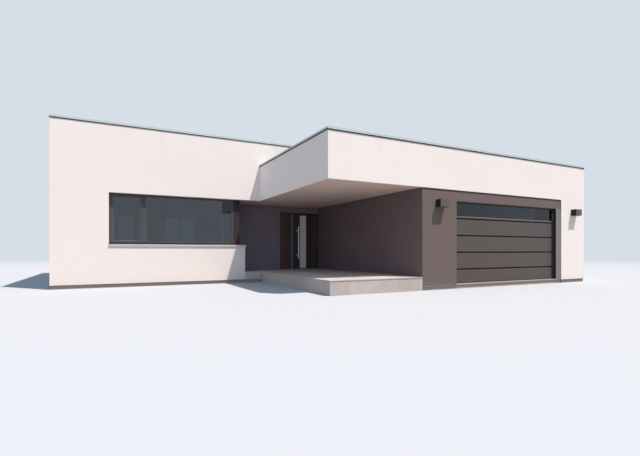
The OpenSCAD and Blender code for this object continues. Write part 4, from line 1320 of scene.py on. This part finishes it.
def entrance_details():
    """the seal round the entrance frame and the ribbed plate on its threshold"""
    lo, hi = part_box("entrance_frame")
    leaf_lo, leaf_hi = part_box("entrance_leaf")
    edge = 0.004
    bm = bmesh.new()
    w, h = (hi.x - lo.x) / 2 - edge, (hi.z - lo.z) / 2 - edge
    ring(bm, box_outline(-edge, 0.0, -edge, 0.0), (-w, -h), (w, h),
         Vector(((lo.x + hi.x) / 2, lo.y + 0.012, (lo.z + hi.z) / 2)), EAST, -NORTH)
    keep("entrance_joint_seal", HOUSE, bm, rubber)
    bm = bmesh.new()
    y, z, ribs, pitch = porch_wall_y + 0.004, floor_z + 0.022, 4, 0.012
    for k in range(ribs):
        run(bm, [(0.0, 0.0), (0.008, 0.0), (0.006, 0.003), (0.002, 0.003)],
            (leaf_lo.x, y + k * pitch, z), (leaf_hi.x, y + k * pitch, z), NORTH)
    block(bm, (lo.x + 0.002, y - 0.002, floor_z + 0.0004), (hi.x - 0.002, y + ribs * pitch, z),
          0.001, 1)
    keep("threshold_plate", HOUSE, bm, steel_coat)


def side_boards():
    """upright boards with bevelled edges on the fixed panels beside the door"""
    narrowest_panel, board_w, groove = 0.1, 0.105, 0.004
    bm = bmesh.new()
    for lo, hi in solids_of("entrance_side_panels"):
        width = hi.x - lo.x
        if width < narrowest_panel:
            continue
        count = max(2, round(width / board_w))
        pitch = width / count
        for k in range(count):
            x = lo.x + k * pitch
            block(bm, (x + groove, lo.y - 0.004, lo.z + groove),
                  (x + pitch - groove, lo.y - SKIN, hi.z - groove), 0.0017, 1)
    keep("entrance_boards", HOUSE, bm, board_wood)


def leaf_details():
    """glass gaskets, edge seal, lock cylinder and inner lever of the entrance leaf"""
    lo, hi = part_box("entrance_leaf")
    pane_lo, pane_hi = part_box("entrance_leaf_glass")
    plate_lo, plate_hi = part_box("entrance_edge_plate")
    bm = bmesh.new()
    mid, half = (pane_lo + pane_hi) / 2, (pane_hi - pane_lo) / 2
    w, h = half.x - PANE_BITE, half.z - PANE_BITE
    outline = [(-0.003, 0.0), (0.006, 0.0), (0.005, 0.003), (-0.003, 0.006)]
    for y, out in ((pane_lo.y, -NORTH), (pane_hi.y, NORTH)):
        ring(bm, outline, (-w, -h), (w, h), Vector((mid.x, y, mid.z)), EAST, out)
    x, y = lo.x + 0.01, hi.y - 0.02
    run(bm, box_outline(-0.003, 0.0015, 0.0, 0.012), (x, y, lo.z + 0.02), (x, y, hi.z - 0.02),
        -EAST, NORTH)
    keep("leaf_gaskets", LEAF, bm, rubber)
    bm = bmesh.new()
    x, y, z = (plate_lo.x + plate_hi.x) / 2, plate_lo.y, floor_z + 1.03
    turned(bm, [(0.001, 0.0), (0.026, 0.0), (0.027, 0.002), (0.026, 0.007), (0.022, 0.010),
                (0.012, 0.011), (0.001, 0.011)], (x, y, z), -NORTH, 28)
    block(bm, (x - 0.0055, y - 0.016, z - 0.016), (x + 0.0055, y - 0.01, z + 0.016), 0.003)
    keep("leaf_lock", LEAF, bm, plate_coat)
    bm = bmesh.new()
    y, lever_z = hi.y, z + 0.05
    block(bm, (x - 0.018, y, z - 0.11), (x + 0.018, y + 0.008, z + 0.11), 0.003)
    rod(bm, [(x, y + 0.006, lever_z), (x, y + 0.045, lever_z), (x + 0.01, y + 0.053, lever_z),
             (x + 0.03, y + 0.056, lever_z), (x + 0.125, y + 0.056, lever_z)], 0.0095)
    turned(bm, [(0.001, 0.0), (0.012, 0.0), (0.012, 0.004), (0.001, 0.004)],
           (x, y + 0.008, z - 0.05), NORTH, 20)
    keep("leaf_lever", LEAF, bm, steel_coat)


def hinge_screws():
    """screws in the flaps of the entrance hinges"""
    pair = 0.022
    bm = bmesh.new()
    turned(bm, [(0.0004, 0.0022), (0.003, 0.002), (0.005, 0.0006), (0.005, 0.0), (0.0004, 0.0)],
           (0, 0, 0), NORTH, 12)
    screw = unit_object(bm)
    for node, body in (("entrance_frame_hinges", HOUSE), ("entrance_leaf_hinges", LEAF)):
        lo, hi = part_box(node)
        x = hi.x - 0.02 if body == HOUSE else lo.x + 0.02
        paths = []
        for a, b in solids_of(node):
            y, mid = a.y + 0.0034, (a.z + b.z) / 2
            for z in (mid,) if body == LEAF else (mid - 0.037, mid + 0.037):
                paths.append(((x, y, z - pair / 2), (x, y, z + pair / 2)))
        made = make_row(screw, paths, steel_coat, pair)
        gather("hinge_screws_" + body, body, [made])
    bpy.data.objects.remove(screw)


# lamps

def lamp_details():
    """front covers, side screws and reflectors of the two wall lamps"""
    edge, wall = 0.001, 0.012
    plates = bmesh.new()
    fronts = bmesh.new()
    discs = bmesh.new()
    for lo, hi in solids_of("wall_lamps"):
        block(fronts, (lo.x + edge, lo.y - 0.002, lo.z + edge),
              (hi.x - edge, lo.y - SKIN, hi.z - edge), 0.0008, 1)
        middle = (lo + hi) / 2
        for x, out in ((lo.x - 0.0005, -EAST), (hi.x + 0.0005, EAST)):
            turned(plates, [(0.0005, 0.0), (0.004, 0.0), (0.003, 0.002), (0.0005, 0.002)],
                   (x, hi.y - 0.03, middle.z), out, 12)
        for s in (-1, 1):
            turned(discs, [(0.001, 0.0), (0.03, 0.0), (0.055, 0.05), (0.052, 0.05), (0.027, 0.003),
                           (0.001, 0.003)], middle + UP * s * 0.03, UP * s, 24)
        block(discs, (lo.x + wall, lo.y + wall, middle.z - 0.02),
              (hi.x - wall, hi.y - wall, middle.z + 0.02), 0.002)
    keep("lamp_reflectors", HOUSE, discs, zinc_coat)
    keep("lamp_fronts", HOUSE, fronts, lamp_front)
    keep("lamp_screws", HOUSE, plates, lamp_coat)


coping_cleats()
coping_straps()
roof_upstands()
rail_screws()
loose_pebbles()
roof_outlets()
foot_rails()
drip_beads()
shadow_gaps()
window_gaskets()
glass_spacers()
drain_caps()
sill_ends()
sash_fittings()
garage_seals()
garage_trim()
section_hinges()
track_bolts()
porch_slabs()
entrance_details()
side_boards()
leaf_details()
hinge_screws()
lamp_details()


# camera, light and floor

EYE = (-7.302, -16.5775, 1.18)
BACKDROP = tone(214, 222, 232)
SKY_FILL = (0.36, 0.465, 0.585, 1.0)
LAMPS = [    # name, direction of its light, strength, width in degrees, colour
    ("sun", Vector((-0.29, 0.375, -1.0)), 5.25, 1.1, (1.0, 0.845, 0.735)),
    ("front_fill", Vector((0.0, 1.0, -0.2)), 0.45, 110.0, (0.55, 0.83, 1.0))]


def place_camera():
    """the photograph's view: a wide, level view from the left of the front"""
    data = bpy.data.cameras.new("camera")
    data.sensor_width = 36.0
    data.sensor_fit = "HORIZONTAL"
    data.lens = 22.89
    data.shift_y = 0.0356
    data.clip_end = 600.0
    camera = linked(bpy.data.objects.new("camera", data))
    camera.location = EYE
    camera.rotation_euler = Euler((math.radians(90), 0.0, math.radians(-27.3)))
    bpy.context.scene.camera = camera


def emptied(holder):
    """the web of a material or world without its first nodes"""
    holder.use_nodes = True
    holder.node_tree.nodes.clear()
    return Web(holder.node_tree)


def place_light():
    """a sun, a soft fill from the front and a blue sky fill, behind a plain pale backdrop"""
    for name, travel, energy, angle, colour in LAMPS:
        data = bpy.data.lights.new(name, "SUN")
        data.energy = energy
        data.angle = math.radians(angle)
        data.color = colour
        lamp = linked(bpy.data.objects.new(name, data))
        lamp.rotation_euler = travel.to_track_quat("-Z", "Y").to_euler()
    world = bpy.data.worlds.new("studio")
    bpy.context.scene.world = world
    web = emptied(world)
    fill = web.add("ShaderNodeBackground", {"Color": SKY_FILL, "Strength": 0.95})
    pale = web.add("ShaderNodeBackground", {"Color": BACKDROP, "Strength": 1.0})
    both = web.add("ShaderNodeMixShader",
                   {0: web.seen(), 1: fill.outputs[0], 2: pale.outputs[0]})
    web.add("ShaderNodeOutputWorld", {"Surface": both.outputs[0]})


def place_floor():
    """a pale floor that fades into the backdrop and sends up less light than it shows"""
    fade_start, fade_end = 16.0, 55.0
    bm = bmesh.new()
    bmesh.ops.create_circle(bm, cap_ends=True, segments=96, radius=160.0,
                            matrix=Matrix.Translation((0, 0, -0.001)))
    mesh = bpy.data.meshes.new("floor")
    bm.to_mesh(mesh)
    bm.free()
    floor = linked(bpy.data.objects.new("floor", mesh))
    material = bpy.data.materials.new("studio_floor")
    mesh.materials.append(material)
    web = emptied(material)
    seen = web.seen()
    shown = web.add("ShaderNodeBsdfDiffuse", {"Color": (0.46, 0.50, 0.55, 1.0)})
    bounced = web.add("ShaderNodeBsdfDiffuse", {"Color": (0.30, 0.29, 0.281, 1.0)})
    near = web.add("ShaderNodeMixShader", {0: seen, 1: bounced.outputs[0], 2: shown.outputs[0]})
    spot = web.add("ShaderNodeTexCoord").outputs["Object"]
    away = web.add("ShaderNodeVectorMath", {0: spot}, operation="LENGTH").outputs["Value"]
    far = web.add("ShaderNodeEmission", {"Color": BACKDROP, "Strength": 1.0})
    fade = web.times(web.fade(away, fade_start, fade_end), seen)
    both = web.add("ShaderNodeMixShader", {0: fade, 1: near.outputs[0], 2: far.outputs[0]})
    web.add("ShaderNodeOutputMaterial", {"Surface": both.outputs[0]})


place_camera()
place_light()
place_floor()

bpy.context.scene.view_settings.view_transform = "Standard"
